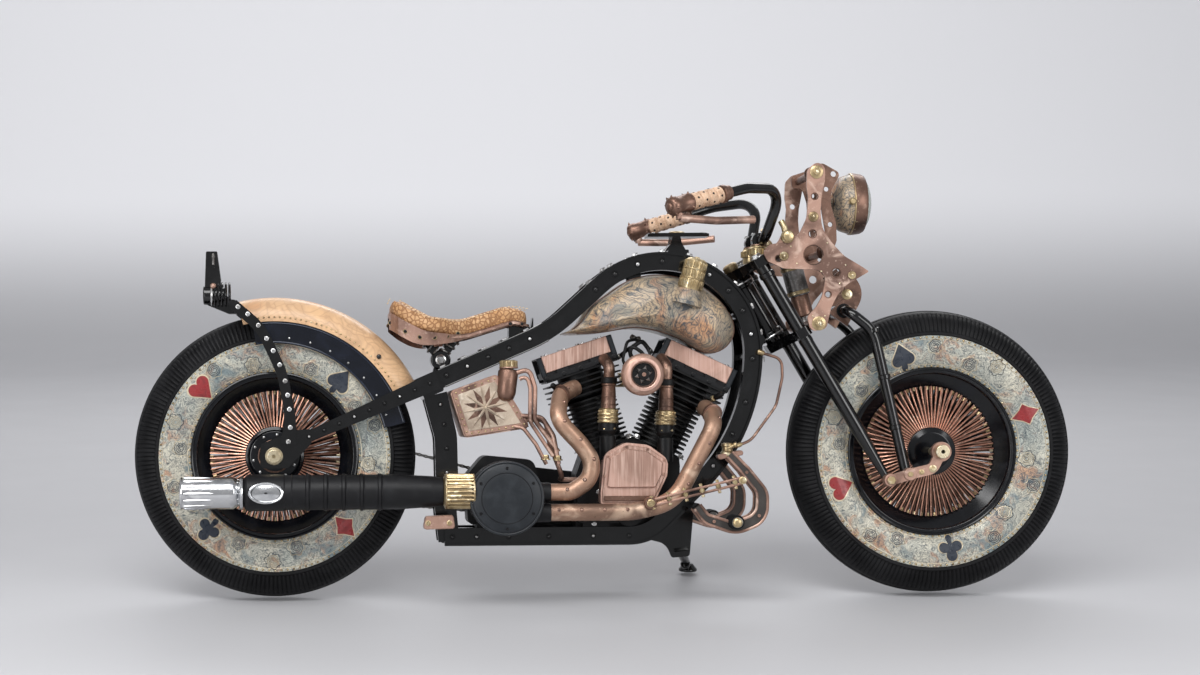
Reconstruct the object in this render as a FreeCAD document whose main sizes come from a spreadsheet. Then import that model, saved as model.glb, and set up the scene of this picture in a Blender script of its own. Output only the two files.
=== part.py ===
import FreeCAD, Part
import math
import os
import Sketcher
from FreeCAD import Placement, Rotation, Vector

# Chopper motorcycle, standing on its side stand.
# Every piece is drawn on the upright machine: x forward from the middle of the wheelbase,
# y to the rider's left, z up from the ground. The finished pieces then lean over together.

doc = FreeCAD.newDocument("ChopperMotorcycle")

# Driving dimensions, millimetres and degrees
SIZES = [
    ("lean_angle", 8.0, "lean to the left on the side stand"),
    ("wheelbase", 1643.6, "between the axles"),
    ("front_reach", 821.8, "datum of the frame to the front axle"),
    ("axle_level", 354.0, "datum of the frame up to both axles"),
    ("tyre_radius", 354.0, "rolling radius of both balloon tyres"),
    ("tyre_width", 130.0, "section width of both tyres"),
    ("rim_radius", 203.0, "outside radius of the rim between its flanges"),
    ("rim_width", 88.0, "width of the rim between its flanges"),
    ("rim_lip", 8.0, "height of the rim flanges above the bead seat"),
    ("rim_well_radius", 163.0, "inside radius of the rim"),
    ("rim_wall", 6.0, "thickness of the rim flanges"),
    ("spoke_radius", 2.0, "radius of a spoke"),
    ("spoke_pairs", 60.0, "spokes on each side of a wheel"),
    ("hub_radius", 26.0, "radius of the hub barrel"),
    ("hub_flange_radius", 56.0, "radius of the spoke flanges"),
    ("hub_width", 72.0, "width of the hub over its flanges"),
    ("hub_flange", 10.0, "thickness of a spoke flange"),
    ("axle_radius", 10.0, "radius of both axles"),
    ("axle_bore", 5.0, "radius of the bore through both axles"),
    ("bearing_gap", 0.05, "radial running clearance on both axles"),
    ("beam_spread", 72.0, "middle plane to the middle of a frame beam"),
    ("beam_depth", 45.0, "depth of a frame beam"),
    ("beam_tail_depth", 26.0, "depth of a frame beam at the rear axle"),
    ("beam_web", 9.0, "thickness of a beam web"),
    ("beam_flange_width", 24.0, "width of a beam flange"),
    ("beam_flange", 6.0, "thickness of a beam flange"),
    ("beam_arch_radius", 227.0, "radius of the arch over the tank"),
    ("cross_tube_radius", 14.0, "radius of the tubes between the beams"),
    ("rake_angle", 30.0, "steering axis from the vertical"),
    ("head_length", 168.0, "length of the steering head"),
    ("head_radius", 30.0, "outside radius of the steering head"),
    ("head_bore", 18.0, "bore radius of the steering head"),
    ("stem_gap", 0.06, "radial running clearance of the steering stem"),
    ("leg_offset", 50.0, "steering axis to the rigid fork legs"),
    ("leg_spread", 104.0, "middle plane to a fork leg"),
    ("leg_radius", 17.0, "radius of a rigid leg at its top"),
    ("leg_foot_radius", 10.0, "radius of a rigid leg at its foot"),
    ("spring_leg_radius", 13.0, "radius of a spring leg"),
    ("rocker_thickness", 10.0, "thickness of a front rocker"),
    ("side_plate_thickness", 8.0, "thickness of a fork side plate"),
    ("bar_radius", 13.0, "radius of the handlebar tube"),
    ("bar_half_width", 340.0, "middle plane to the end of a grip"),
    ("grip_radius", 18.0, "radius of a wrapped grip"),
    ("header_radius", 21.0, "radius of an exhaust header"),
    ("muffler_radius", 45.0, "radius of the muffler body"),
    ("fender_gap", 40.0, "tread to the inside of the fender crown"),
    ("fender_half_width", 78.0, "half width of the rear fender"),
    ("fender_wall", 4.0, "thickness of the fender"),
    ("fender_depth", 117.0, "crown to the lower edge of the valance"),
    ("cylinder_radius", 69.0, "radius of the cylinder fins"),
    ("barrel_radius", 52.0, "radius of a cylinder inside its fins"),
    ("fin_pitch", 12.0, "distance between fins"),
    ("fin_thickness", 4.0, "thickness of a fin"),
    ("rocker_box_width", 120.0, "width of a rocker box across the machine"),
    ("tank_half_width", 128.0, "middle plane to the side of the tank"),
    ("oil_tank_half_width", 110.0, "middle plane to the side of the oil tank"),
    ("clutch_cover_radius", 91.0, "radius of the round cover on the right"),
    ("stand_radius", 13.0, "radius of the side stand leg"),
    ("stand_foot_radius", 24.0, "radius of the side stand foot"),
    ("seat_thickness", 40.0, "thickness of the seat cushion"),
    ("pan_thickness", 6.0, "thickness of the seat pan"),
    ("stay_spread", 105.0, "middle plane to the middle of a rear stay"),
    ("stay_thickness", 12.0, "thickness of a rear stay and its axle plate"),
    ("chain_offset", 84.0, "middle plane to the middle of the drive chain"),
    ("chain_width", 18.0, "width of the drive chain"),
    ("rear_sprocket_radius", 92.0, "radius of the rear sprocket"),
    ("drive_sprocket_radius", 42.0, "radius of the gearbox sprocket"),
    ("seat_gap", 0.3, "clearance of a piece from what carries it"),
]

sheet = doc.addObject("Spreadsheet::Sheet", "Sizes")
for row, (alias, value, note) in enumerate(SIZES, start=1):
    sheet.set("A%d" % row, alias)
    sheet.set("B%d" % row, str(value))
    sheet.set("C%d" % row, note)
    sheet.setAlias("B%d" % row, alias)
doc.recompute()


def size(alias):
    """Value of one driving dimension."""
    return float(sheet.get(alias))


# Shared places, worked out from the driving dimensions

TYRE_RADIUS = size("tyre_radius")
TYRE_CROWN = size("tyre_width") / 2
CROWN_FLAT = 1.0
CROWN_ARC = TYRE_CROWN - CROWN_FLAT
FRONT_X = size("front_reach")
REAR_X = FRONT_X - size("wheelbase")
AXLE_Z = size("axle_level")
GROUND_Z = AXLE_Z - TYRE_RADIUS
REAR_CENTRE = Vector(REAR_X, 0, AXLE_Z)
FRONT_CENTRE = Vector(FRONT_X, 0, AXLE_Z)
RAKE = math.radians(size("rake_angle"))
STEER_UP = Vector(-math.sin(RAKE), 0, math.cos(RAKE))
STEER_AHEAD = Vector(math.cos(RAKE), 0, math.sin(RAKE))
HEAD_FOOT = Vector(FRONT_X - 388.3, 0, AXLE_Z + 286)
CRANK = Vector(60, 0, 208)
RIGHT = Vector(0, -1, 0)
LEFT = Vector(0, 1, 0)
UP = Vector(0, 0, 1)
AHEAD = Vector(1, 0, 0)
BACK = Vector(-1, 0, 0)
BEAM_Y = size("beam_spread")
LEG_Y = size("leg_spread")

nodes = []


# Drawing helpers

def corner(point, before, after, radius):
    """Points where a rounded corner starts, turns and ends, or just the corner itself."""
    into = (before - point).normalize()
    out = (after - point).normalize()
    half = into.getAngle(out) / 2
    if radius < 0.01 or half > math.pi / 2 - 0.005:
        return [point]
    reach = radius / math.tan(half)
    middle = (into + out).normalize()
    centre = point + middle * (radius / math.sin(half))
    return [point + into * reach, centre - middle * radius, point + out * reach]


def rounded(points, closed=True):
    """Straight runs joined by tangent arcs, from (position, radius) pairs."""
    count = len(points)
    stops = []
    for index, (point, radius) in enumerate(points):
        if not closed and index in (0, count - 1):
            stops.append([point])
            continue
        before = points[index - 1][0]
        after = points[(index + 1) % count][0]
        stops.append(corner(point, before, after, radius))
    edges = []
    for index, stop in enumerate(stops):
        if len(stop) == 3:
            edges.append(Part.Arc(*stop))
        following = stops[(index + 1) % count]
        if index == count - 1 and not closed:
            break
        if (following[0] - stop[-1]).Length > 0.001:
            edges.append(Part.LineSegment(stop[-1], following[0]))
    return edges


def flat(outline):
    """Outline of (x, z) or (x, z, radius) corners as positions on a sketch."""
    return [(Vector(c[0], c[1], 0), c[2] if len(c) > 2 else 0.0) for c in outline]


def strip(line, above, below=None):
    """Closed outline of a bar along a bent line, with its reach to each side at each corner."""
    below = above if below is None else below
    sides = ([], [])
    for index, stop in enumerate(line):
        here = Vector(stop[0], stop[1], 0)
        radius = stop[2] if len(stop) > 2 else 0.0
        ways = []
        if index > 0:
            ways.append((here - Vector(line[index - 1][0], line[index - 1][1], 0)).normalize())
        if index < len(line) - 1:
            ways.append((Vector(line[index + 1][0], line[index + 1][1], 0) - here).normalize())
        way = ways[0] + ways[-1]
        way.normalize()
        across = Vector(-way.y, way.x, 0)
        stretch = 1 / max(0.2, way.dot(ways[0]))
        turn = ways[0].x * ways[-1].y - ways[0].y * ways[-1].x
        for side, sign, reach in ((sides[0], 1, above), (sides[1], -1, below)):
            reach = reach[index] if isinstance(reach, (list, tuple)) else reach
            spot = here + across * (sign * reach * stretch)
            bend = radius - sign * reach if turn > 0 else radius + sign * reach
            side.append((spot.x, spot.y, max(0.0, bend) if radius else 0.0))
    return sides[0] + sides[1][::-1]


def origin_feature(body, role):
    """Plane or axis of a body's own origin."""
    return [item for item in body.Origin.OriginFeatures if item.Role == role][0]


def new_body(label, placement=None):
    body = doc.addObject("PartDesign::Body", label)
    body.Label = label
    if placement:
        body.Placement = placement
    return body


def sketch_on(body, role, shapes, offset=0.0):
    """Sketch of outlines and (x, y, alias) holes on an origin plane, offset along its normal."""
    sketch = body.newObject("Sketcher::SketchObject", "Sketch")
    sketch.AttachmentSupport = (origin_feature(body, role), [""])
    sketch.MapMode = "FlatFace"
    sketch.AttachmentOffset = Placement(Vector(0, 0, offset), Rotation())
    for shape in shapes:
        if isinstance(shape, tuple):
            x, y, alias = shape
            radius = size(alias) if isinstance(alias, str) else alias
            place = sketch.addGeometry(Part.Circle(Vector(x, y, 0), Vector(0, 0, 1), radius), False)
            if isinstance(alias, str):
                number = sketch.addConstraint(Sketcher.Constraint("Radius", place, radius))
                sketch.setExpression("Constraints[%d]" % number, "Sizes." + alias)
        else:
            for edge in rounded(flat(shape)):
                sketch.addGeometry(edge, False)
    return sketch


def pad(body, shapes, thickness, y=0.0, cut=False):
    """Side view outlines padded evenly about the plane at y, or cut away there."""
    sketch = sketch_on(body, "XZ_Plane", shapes, -y)
    kind = "PartDesign::Pocket" if cut else "PartDesign::Pad"
    made = body.newObject(kind, "Cut" if cut else "Pad")
    made.Profile = sketch
    made.SideType = "Symmetric"
    if isinstance(thickness, str):
        made.setExpression("Length", "Sizes." + thickness)
    else:
        made.Length = thickness
    return made


def plate(label, shapes, thickness, y=0.0, node=True):
    """Flat piece with a side view outline."""
    body = new_body(label)
    pad(body, shapes, thickness, y)
    if node:
        nodes.append(body)
    return body


def turned(label, profile, origin, direction, node=True, angle=360.0, start=0.0):
    """Turned piece: (radius, height) corners about an axis through origin along direction."""
    turn = Rotation(Vector(0, 0, 1), direction)
    if direction == RIGHT:
        turn = Rotation(Vector(1, 0, 0), 90)
    place = Placement(origin, turn.multiply(Rotation(Vector(0, 0, 1), start)))
    body = new_body(label, place)
    sketch = sketch_on(body, "XZ_Plane", [profile])
    revolution = body.newObject("PartDesign::Revolution", "Revolution")
    revolution.Profile = sketch
    revolution.ReferenceAxis = (origin_feature(body, "Z_Axis"), [""])
    revolution.Angle = angle
    if node:
        nodes.append(body)
    return body


def route(points):
    """Wire of straight runs and tangent arcs through space, from (x, y, z, radius) corners."""
    stops = [(Vector(*p[:3]), p[3] if len(p) > 3 else 0.0) for p in points]
    return Part.Wire([edge.toShape() for edge in rounded(stops, closed=False)])


def tube(label, points, radius, node=True):
    """Round bar swept along a bent route."""
    path = doc.addObject("Part::Feature", label + "_path")
    path.Shape = route(points)
    first = path.Shape.OrderedEdges[0]
    way = first.tangentAt(first.FirstParameter)
    section = doc.addObject("Part::Circle", label + "_section")
    section.Placement = Placement(Vector(*points[0][:3]), Rotation(Vector(0, 0, 1), way))
    if isinstance(radius, str):
        section.setExpression("Radius", "Sizes." + radius)
    else:
        section.Radius = radius
    sweep = doc.addObject("Part::Sweep", label)
    sweep.Label = label
    sweep.Sections = [section]
    sweep.Spine = (path, [])
    sweep.Solid = True
    if node:
        nodes.append(sweep)
    return sweep


def solid(label, shape, node=True):
    """Piece whose shape comes from its own construction."""
    made = doc.addObject("Part::Feature", label)
    made.Label = label
    made.Shape = shape
    if node:
        nodes.append(made)
    return made


def joined(label, pieces, node=True):
    """One solid from pieces that run into each other."""
    made = doc.addObject("Part::MultiFuse", label)
    made.Label = label
    made.Shapes = pieces
    made.Refine = True
    if node:
        nodes.append(made)
    return made


def grouped(label, pieces, node=True):
    """Like pieces that don't touch, kept together."""
    made = doc.addObject("Part::Compound", label)
    made.Label = label
    made.Links = pieces
    if node:
        nodes.append(made)
    return made


def less(label, base, tool, node=True):
    """Base with the tool's room cut out."""
    made = doc.addObject("Part::Cut", label)
    made.Label = label
    made.Base = base
    made.Tool = tool
    if node:
        nodes.append(made)
    return made


def mirrored(label, piece, node=False):
    """Same piece on the other side of the middle plane."""
    made = doc.addObject("Part::Mirroring", label)
    made.Label = label
    made.Source = piece
    made.Normal = LEFT
    if node:
        nodes.append(made)
    return made


def both_sides(label, piece, node=True):
    return grouped(label, [piece, mirrored(label + "_left", piece)], node)


def on_fork(up, ahead, y=0.0):
    """Place measured up the steering axis from the foot of the head, ahead of it and across."""
    return HEAD_FOOT + STEER_UP * up + STEER_AHEAD * ahead + LEFT * y


# Wheels

def tyre(label, centre):
    """Balloon tyre: round crown, full side walls that pull in to the rim flanges."""
    seat = size("rim_radius")
    bead = size("rim_width") / 2
    widest = TYRE_RADIUS - TYRE_CROWN
    hook = seat + size("rim_lip") + 1
    belly = widest - 38
    profile = [
        (seat, -bead),
        (seat, bead),
        (hook, bead),
        (belly, TYRE_CROWN, 45),
        (TYRE_RADIUS, TYRE_CROWN, CROWN_ARC),
        (TYRE_RADIUS, -TYRE_CROWN, CROWN_ARC),
        (belly, -TYRE_CROWN, 45),
        (hook, -bead),
    ]
    return turned(label, profile, centre, RIGHT)


def rim(label, centre):
    """Drop centre rim with its two flanges."""
    seat = size("rim_radius")
    bead = size("rim_width") / 2
    lip = seat + size("rim_lip")
    wall = size("rim_wall")
    well = size("rim_well_radius")
    half = [
        (seat - wall - 2, bead + wall, 3),
        (lip, bead + wall, 2),
        (lip, bead, 1),
        (seat, bead),
    ]
    mirror = [(c[0], -c[1]) + tuple(c[2:]) for c in half[::-1]]
    shelf = [
        (seat - wall - 2, -bead + 4, 4),
        (well, -12, 6),
        (well, 12, 6),
        (seat - wall - 2, bead - 4, 4),
    ]
    return turned(label, half + mirror + shelf, centre, RIGHT)


def spoke_set():
    """Hub barrel with two flanges and its spokes, about the origin with the axle along z."""
    barrel = size("hub_radius")
    flange = size("hub_flange_radius")
    half = size("hub_width") / 2
    thick = size("hub_flange")
    bore = size("axle_radius") + size("bearing_gap")
    hub = Part.makeCylinder(barrel, 2 * half, Vector(0, 0, -half))
    for bottom in (-half, half - thick):
        hub = hub.fuse(Part.makeCylinder(flange, thick, Vector(0, 0, bottom)))
    count = int(size("spoke_pairs"))
    spokes = []
    well = size("rim_well_radius")
    for side in (-1, 1):
        for index in range(count):
            turn = math.radians(360.0 * (index + (0.5 if side > 0 else 0.0)) / count)
            lead = turn + math.radians(7.0) * (1 if index % 2 else -1)
            inner = Vector((flange - 6) * math.cos(turn), (flange - 6) * math.sin(turn),
                           side * (half - thick / 2))
            outer = Vector(well * math.cos(lead), well * math.sin(lead), side * 9.0)
            way = (outer - inner).normalize()
            length = (outer - inner).Length - 0.9
            spokes.append(Part.makeCylinder(size("spoke_radius"), length, inner, way))
    whole = hub.multiFuse(spokes)
    return whole.cut(Part.makeCylinder(bore, 4 * half, Vector(0, 0, -2 * half)))


tyre("rear_tyre", REAR_CENTRE)
tyre("front_tyre", FRONT_CENTRE)
rim("rear_rim", REAR_CENTRE)
rim("front_rim", FRONT_CENTRE)
SPOKES = spoke_set()
for end, centre in (("rear", REAR_CENTRE), ("front", FRONT_CENTRE)):
    wheel = solid(end + "_spokes", SPOKES)
    wheel.Placement = Placement(centre, Rotation(Vector(1, 0, 0), 90))


def drum(label, centre, direction, radius, thickness):
    """Domed disc bolted to the outside of a hub flange."""
    inside = size("hub_width") / 2
    bore = size("axle_radius") + size("bearing_gap")
    profile = [
        (bore, inside),
        (radius, inside),
        (radius, inside + thickness - 5, 3),
        (radius - 14, inside + thickness, 5),
        (bore, inside + thickness),
    ]
    return turned(label, profile, centre, direction, node=False)


front_drums = [
    drum("front_drum_right", FRONT_CENTRE, RIGHT, 60.0, 16.0),
    drum("front_drum_left", FRONT_CENTRE, LEFT, 60.0, 16.0),
]
grouped("front_hub_covers", front_drums)
drum_right = drum("rear_drum", REAR_CENTRE, RIGHT, 74.0, 12.0)
drum_right.Label = "rear_hub_cover"
nodes.append(drum_right)

# Final drive on the left: sprocket on the wheel, sprocket on the gearbox, chain round both

CHAIN_Y = size("chain_offset")
CHAIN_WIDTH = size("chain_width")
SPROCKET_RADIUS = size("rear_sprocket_radius")
DRIVE_RADIUS = size("drive_sprocket_radius")
GEARBOX_X = CRANK.x - 313.8
GEARBOX_Z = CRANK.z + 41.0
CHAIN_DEPTH = 9.0
AXLE_HOLE = size("axle_radius") + size("bearing_gap")

turned("rear_sprocket", [
    (AXLE_HOLE, size("hub_width") / 2),
    (52, size("hub_width") / 2),
    (52, CHAIN_Y - 5, 4),
    (SPROCKET_RADIUS - 4, CHAIN_Y - 5),
    (SPROCKET_RADIUS, CHAIN_Y - 3),
    (SPROCKET_RADIUS, CHAIN_Y + 3),
    (SPROCKET_RADIUS - 4, CHAIN_Y + 5),
    (AXLE_HOLE, CHAIN_Y + 5),
], REAR_CENTRE, LEFT)


def loop_round(first, first_radius, second, second_radius):
    """Side view of a band round two circles: two straight runs and two arcs."""
    start = Vector(first[0], first[1], 0)
    end = Vector(second[0], second[1], 0)
    way = (end - start).normalize()
    across = Vector(-way.y, way.x, 0)
    rise = (first_radius - second_radius) / (end - start).Length
    run = math.sqrt(1 - rise * rise)
    touch = []
    for sign in (1, -1):
        normal = way * rise + across * (run * sign)
        touch.append((start + normal * first_radius, end + normal * second_radius))
    return [
        Part.LineSegment(touch[0][0], touch[0][1]),
        Part.Arc(touch[0][1], end + way * second_radius, touch[1][1]),
        Part.LineSegment(touch[1][1], touch[1][0]),
        Part.Arc(touch[1][0], start - way * first_radius, touch[0][0]),
    ]


def band(label, loops, thickness, y):
    """Piece padded from bands round two circles, the inner band left open."""
    body = new_body(label)
    sketch = sketch_on(body, "XZ_Plane", [], -y)
    for loop in loops:
        for edge in loop_round(*loop):
            sketch.addGeometry(edge, False)
    made = body.newObject("PartDesign::Pad", "Pad")
    made.Profile = sketch
    made.SideType = "Symmetric"
    made.Length = thickness
    nodes.append(body)
    return body


REAR_ROUND = (REAR_X, AXLE_Z)
DRIVE_ROUND = (GEARBOX_X, GEARBOX_Z)
CHAIN_GAP = 0.5
band("drive_chain", [
    (REAR_ROUND, SPROCKET_RADIUS + CHAIN_GAP, DRIVE_ROUND, DRIVE_RADIUS + CHAIN_GAP),
    (REAR_ROUND, SPROCKET_RADIUS + CHAIN_GAP + CHAIN_DEPTH, DRIVE_ROUND,
        DRIVE_RADIUS + CHAIN_GAP + CHAIN_DEPTH),
], CHAIN_WIDTH, CHAIN_Y)

# Axles

STAY_Y = size("stay_spread")
STAY = size("stay_thickness")
AXLE_HALF = STAY_Y + STAY / 2
turned("rear_axle", [
    (size("axle_bore"), -AXLE_HALF - 22),
    (17, -AXLE_HALF - 22, 2),
    (17, -AXLE_HALF),
    (size("axle_radius"), -AXLE_HALF),
    (size("axle_radius"), AXLE_HALF),
    (17, AXLE_HALF),
    (17, AXLE_HALF + 22, 2),
    (size("axle_bore"), AXLE_HALF + 22),
], REAR_CENTRE, RIGHT)

ROCKER_Y = LEG_Y + size("leg_radius") + 6 + size("rocker_thickness") / 2
FRONT_AXLE_HALF = ROCKER_Y + size("rocker_thickness") / 2
turned("front_axle", [
    (size("axle_bore"), -FRONT_AXLE_HALF - 14),
    (17, -FRONT_AXLE_HALF - 14, 2),
    (17, -FRONT_AXLE_HALF),
    (size("axle_radius"), -FRONT_AXLE_HALF),
    (size("axle_radius"), FRONT_AXLE_HALF),
    (17, FRONT_AXLE_HALF),
    (17, FRONT_AXLE_HALF + 14, 2),
    (size("axle_bore"), FRONT_AXLE_HALF + 14),
], FRONT_CENTRE, RIGHT)

# Frame: two I beams that arch over the tank and run back under the engine

ARCH = size("beam_arch_radius")
ARCH_X = 144.0
ARCH_Z = 605.5
ARCH_SLOPE = math.radians(42.0)
FRONT_BEND_RADIUS = 461.0
FRONT_BEND = math.radians(44.6)
RAIL_Z = 150.0
RAIL_END_X = -400.0
BEAM_HALF = size("beam_depth") / 2

front_x = ARCH_X + ARCH
touch_x = ARCH_X - ARCH * math.sin(ARCH_SLOPE)
touch_z = ARCH_Z + ARCH * math.cos(ARCH_SLOPE)
peak_z = touch_z + (front_x - touch_x) * math.tan(ARCH_SLOPE)
bend_z = ARCH_Z - FRONT_BEND_RADIUS * math.tan(FRONT_BEND / 2)
rail_x = front_x - (bend_z - RAIL_Z) * math.tan(FRONT_BEND)
BACK_SLOPE = (596.1 - 392.9) / (757.7 - 284.5)
knee_x = (touch_z - 392.9 - touch_x * math.tan(ARCH_SLOPE) - 757.7 * BACK_SLOPE) / (
    BACK_SLOPE - math.tan(ARCH_SLOPE))
knee_z = 392.9 + (knee_x + 757.7) * BACK_SLOPE
STAY_START = Vector(-757.7, 392.9, 0)
BACK_WAY = Vector(1, BACK_SLOPE, 0).normalize()
BACK_UP = Vector(-BACK_WAY.y, BACK_WAY.x, 0)


def on_back(along, above=0.0):
    """Place along the straight back of the frame, from its tail at the axle plates."""
    spot = STAY_START + BACK_WAY * along + BACK_UP * above
    return (spot.x, spot.y)


BLOCK_START = 318.0
BLOCK_END = 378.0
BEAM_LINE = [
    on_back(BLOCK_END),
    (knee_x, knee_z, 330),
    (front_x, peak_z, ARCH),
    (front_x, bend_z, FRONT_BEND_RADIUS),
    (rail_x, RAIL_Z, 120),
    (RAIL_END_X, RAIL_Z),
]


def beam(label, y):
    """I beam: a web between two flanges."""
    body = new_body(label)
    pad(body, [strip(BEAM_LINE, BEAM_HALF)], "beam_web", y)
    inner = BEAM_HALF - size("beam_flange")
    pad(body, [strip(BEAM_LINE, BEAM_HALF, -inner)], "beam_flange_width", y)
    pad(body, [strip(BEAM_LINE, -inner, BEAM_HALF)], "beam_flange_width", y)
    nodes.append(body)
    return body


beams = [beam("frame_beam_right", -BEAM_Y), beam("frame_beam_left", BEAM_Y)]

# Cross tubes between the beams


def on_arch(degrees):
    """Place on the arch over the tank, measured forward from its top."""
    turn = math.radians(degrees)
    return (ARCH_X + ARCH * math.sin(turn), ARCH_Z + ARCH * math.cos(turn))


def on_front(degrees):
    """Place on the front bend of the beams, measured down from level with the arch's centre."""
    turn = math.radians(degrees)
    middle = front_x - FRONT_BEND_RADIUS
    return (middle + FRONT_BEND_RADIUS * math.cos(turn), ARCH_Z - FRONT_BEND_RADIUS * math.sin(turn))


BEAM_INSIDE = BEAM_Y - size("beam_web") / 2
CROSS_TUBES = [on_back(540.0), on_arch(-15.0), on_arch(30.0), on_front(38.0), (-100.0, RAIL_Z),
    (-340.0, RAIL_Z)]
cross_tubes = plate("cross_tube_set", [(x, z, "cross_tube_radius") for x, z in CROSS_TUBES],
    2 * BEAM_INSIDE, node=False)

# Steering head with its gussets, between the beams

head = turned("head_tube", [
    (size("head_bore"), 0),
    (size("head_radius") + 4, 0, 2),
    (size("head_radius") + 4, 18, 2),
    (size("head_radius"), 22),
    (size("head_radius"), size("head_length") - 22),
    (size("head_radius") + 4, size("head_length") - 18, 2),
    (size("head_radius") + 4, size("head_length"), 2),
    (size("head_bore"), size("head_length")),
], HEAD_FOOT, STEER_UP, node=False)
GUSSET = [
    (on_fork(8, -20).x, on_fork(8, -20).z, 4),
    (on_fork(150, -20).x, on_fork(150, -20).z, 6),
    (300.0, 760.0, 10),
    (336.0, 716.0, 40),
    (360.0, 640.0, 40),
    (371.0, 560.0, 8),
]
gussets = []
for sign in (-1, 1):
    gussets.append(plate("gusset", [GUSSET], 10, sign * 24.0, node=False))
head_beam = plate("head_beam", [
    (343.0, 700.0, 13.0), (371.0, 596.0, 13.0)], 2 * BEAM_INSIDE, node=False)
head_room = turned("head_room", [(0, -5), (size("head_bore"), -5),
                                 (size("head_bore"), 200), (0, 200)], HEAD_FOOT, STEER_UP, node=False)
less("steering_head", joined("head_block", [head] + gussets + [head_beam], node=False),
     joined("head_tools", [head_room] + beams, node=False))

# Casting under the seat: a block that joins the beams to the stays, and two columns to the rails

COLUMN = [(-420.0, 505.0), (-394.0, 400.0, 120), (-392.0, 300.0, 200), (-396.0, 220.0, 120),
    (-388.0, RAIL_Z - 12)]
COLUMN_Y = BEAM_Y - size("beam_flange_width") / 2 - 10
columns = []
for sign in (-1, 1):
    columns.append(plate("column", [strip(COLUMN, [30.0, 28.0, 28.0, 27.0, 26.0])], 20, sign * COLUMN_Y,
        node=False))
column_bar = plate("column_bar", [(-393.0, 330.0, 14.0)], 2 * COLUMN_Y, node=False)
block_outline = [on_back(BLOCK_START, 24.0) + (6,), on_back(BLOCK_END, 24.0) + (2,),
    on_back(BLOCK_END, -30.0) + (6,),
                 on_back(BLOCK_START, -30.0) + (6,)]
block = plate("block", [block_outline], 2 * STAY_Y - STAY, node=False)
FENDER_TOP = TYRE_RADIUS + size("fender_gap") + size("fender_wall")
fender_room = turned("fender_room",
    [(0, -130), (FENDER_TOP + size("seat_gap"), -130), (FENDER_TOP + size("seat_gap"), 130), (0, 130)],
                     REAR_CENTRE, RIGHT, node=False)
seat_post = joined("seat_post", columns + [column_bar, less("block_cut", block, fender_room, node=False)])

# Rear stays with the axle plates, outside the wheel and the fender

STAY_LINE = [on_back(0.0), on_back(BLOCK_END - 4)]
AXLE_PLATE = [
    (REAR_X - 34, AXLE_Z - 30, 12),
    (REAR_X + 34, AXLE_Z - 30, 12),
    (STAY_START.x + 30, STAY_START.y - 6, 10),
    (STAY_START.x + 24, STAY_START.y + 28, 6),
    (STAY_START.x - 12, STAY_START.y + 26, 8),
    (REAR_X - 34, AXLE_Z + 30, 12),
]
stays = []
for sign in (-1, 1):
    stay = new_body("stay")
    pad(stay, [AXLE_PLATE], "stay_thickness", sign * STAY_Y)
    pad(stay, [strip(STAY_LINE, [size("beam_tail_depth") / 2, BEAM_HALF])], "stay_thickness", sign * STAY_Y)
    pad(stay, [(REAR_X, AXLE_Z, "axle_radius")], 20, sign * STAY_Y, cut=True)
    stays.append(stay)
grouped("rear_stays", stays)

# Rear fender: crown and valances turned about the rear axle, struts that carry its tail

FENDER_EDGE = FENDER_TOP - 62
FENDER_HALF = size("fender_half_width")
WALL = size("fender_wall")
turned("fender_crown", [
    (FENDER_EDGE, FENDER_HALF),
    (FENDER_TOP, FENDER_HALF, 61),
    (FENDER_TOP, -FENDER_HALF, 61),
    (FENDER_EDGE, -FENDER_HALF),
    (FENDER_EDGE, -FENDER_HALF + WALL),
    (FENDER_TOP - WALL, -FENDER_HALF + WALL, 57),
    (FENDER_TOP - WALL, FENDER_HALF - WALL, 57),
    (FENDER_EDGE, FENDER_HALF - WALL),
], REAR_CENTRE, RIGHT, angle=77.0, start=26.0)
valances = []
for sign in (-1, 1):
    low = FENDER_TOP - size("fender_depth")
    valances.append(turned("valance", [
        (low, sign * FENDER_HALF),
        (FENDER_EDGE - 0.3, sign * FENDER_HALF),
        (FENDER_EDGE - 0.3, sign * (FENDER_HALF - WALL)),
        (low, sign * (FENDER_HALF - WALL)),
    ], REAR_CENTRE, RIGHT, node=False, angle=85.0, start=14.0))
grouped("fender_valances", valances)

STRUT_Y = STAY_Y + STAY / 2 + 5
FENDER_END = math.radians(103.0)
BAR_RADIUS = 11.0
STRUT_BAR = (REAR_X + (FENDER_TOP - 8) * math.cos(FENDER_END) - (BAR_RADIUS + 0.3) * math.sin(FENDER_END),
             AXLE_Z + (FENDER_TOP - 8) * math.sin(FENDER_END) + (BAR_RADIUS + 0.3) * math.cos(FENDER_END))
STRUT = [
    (REAR_X + 35.8, AXLE_Z + 30),
    (REAR_X + 41.8, AXLE_Z + 96, 200),
    (STRUT_BAR[0] + 120.5, STRUT_BAR[1] - 171.5, 220),
    (STRUT_BAR[0] + 68.5, STRUT_BAR[1] - 59.5, 160),
    STRUT_BAR,
]
strut_right = plate("fender_strut", [strip(STRUT, [20.0, 13.0, 13.0, 13.0, 13.0])], 10, -STRUT_Y, node=False)
strut_left = mirrored("fender_strut_left", strut_right)
strut_bar = plate("strut_bar", [STRUT_BAR + (BAR_RADIUS,)], 2 * STRUT_Y, node=False)
struts = joined("fender_struts", [strut_right, strut_left, strut_bar])

# Tail lamp on the strut bar

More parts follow.
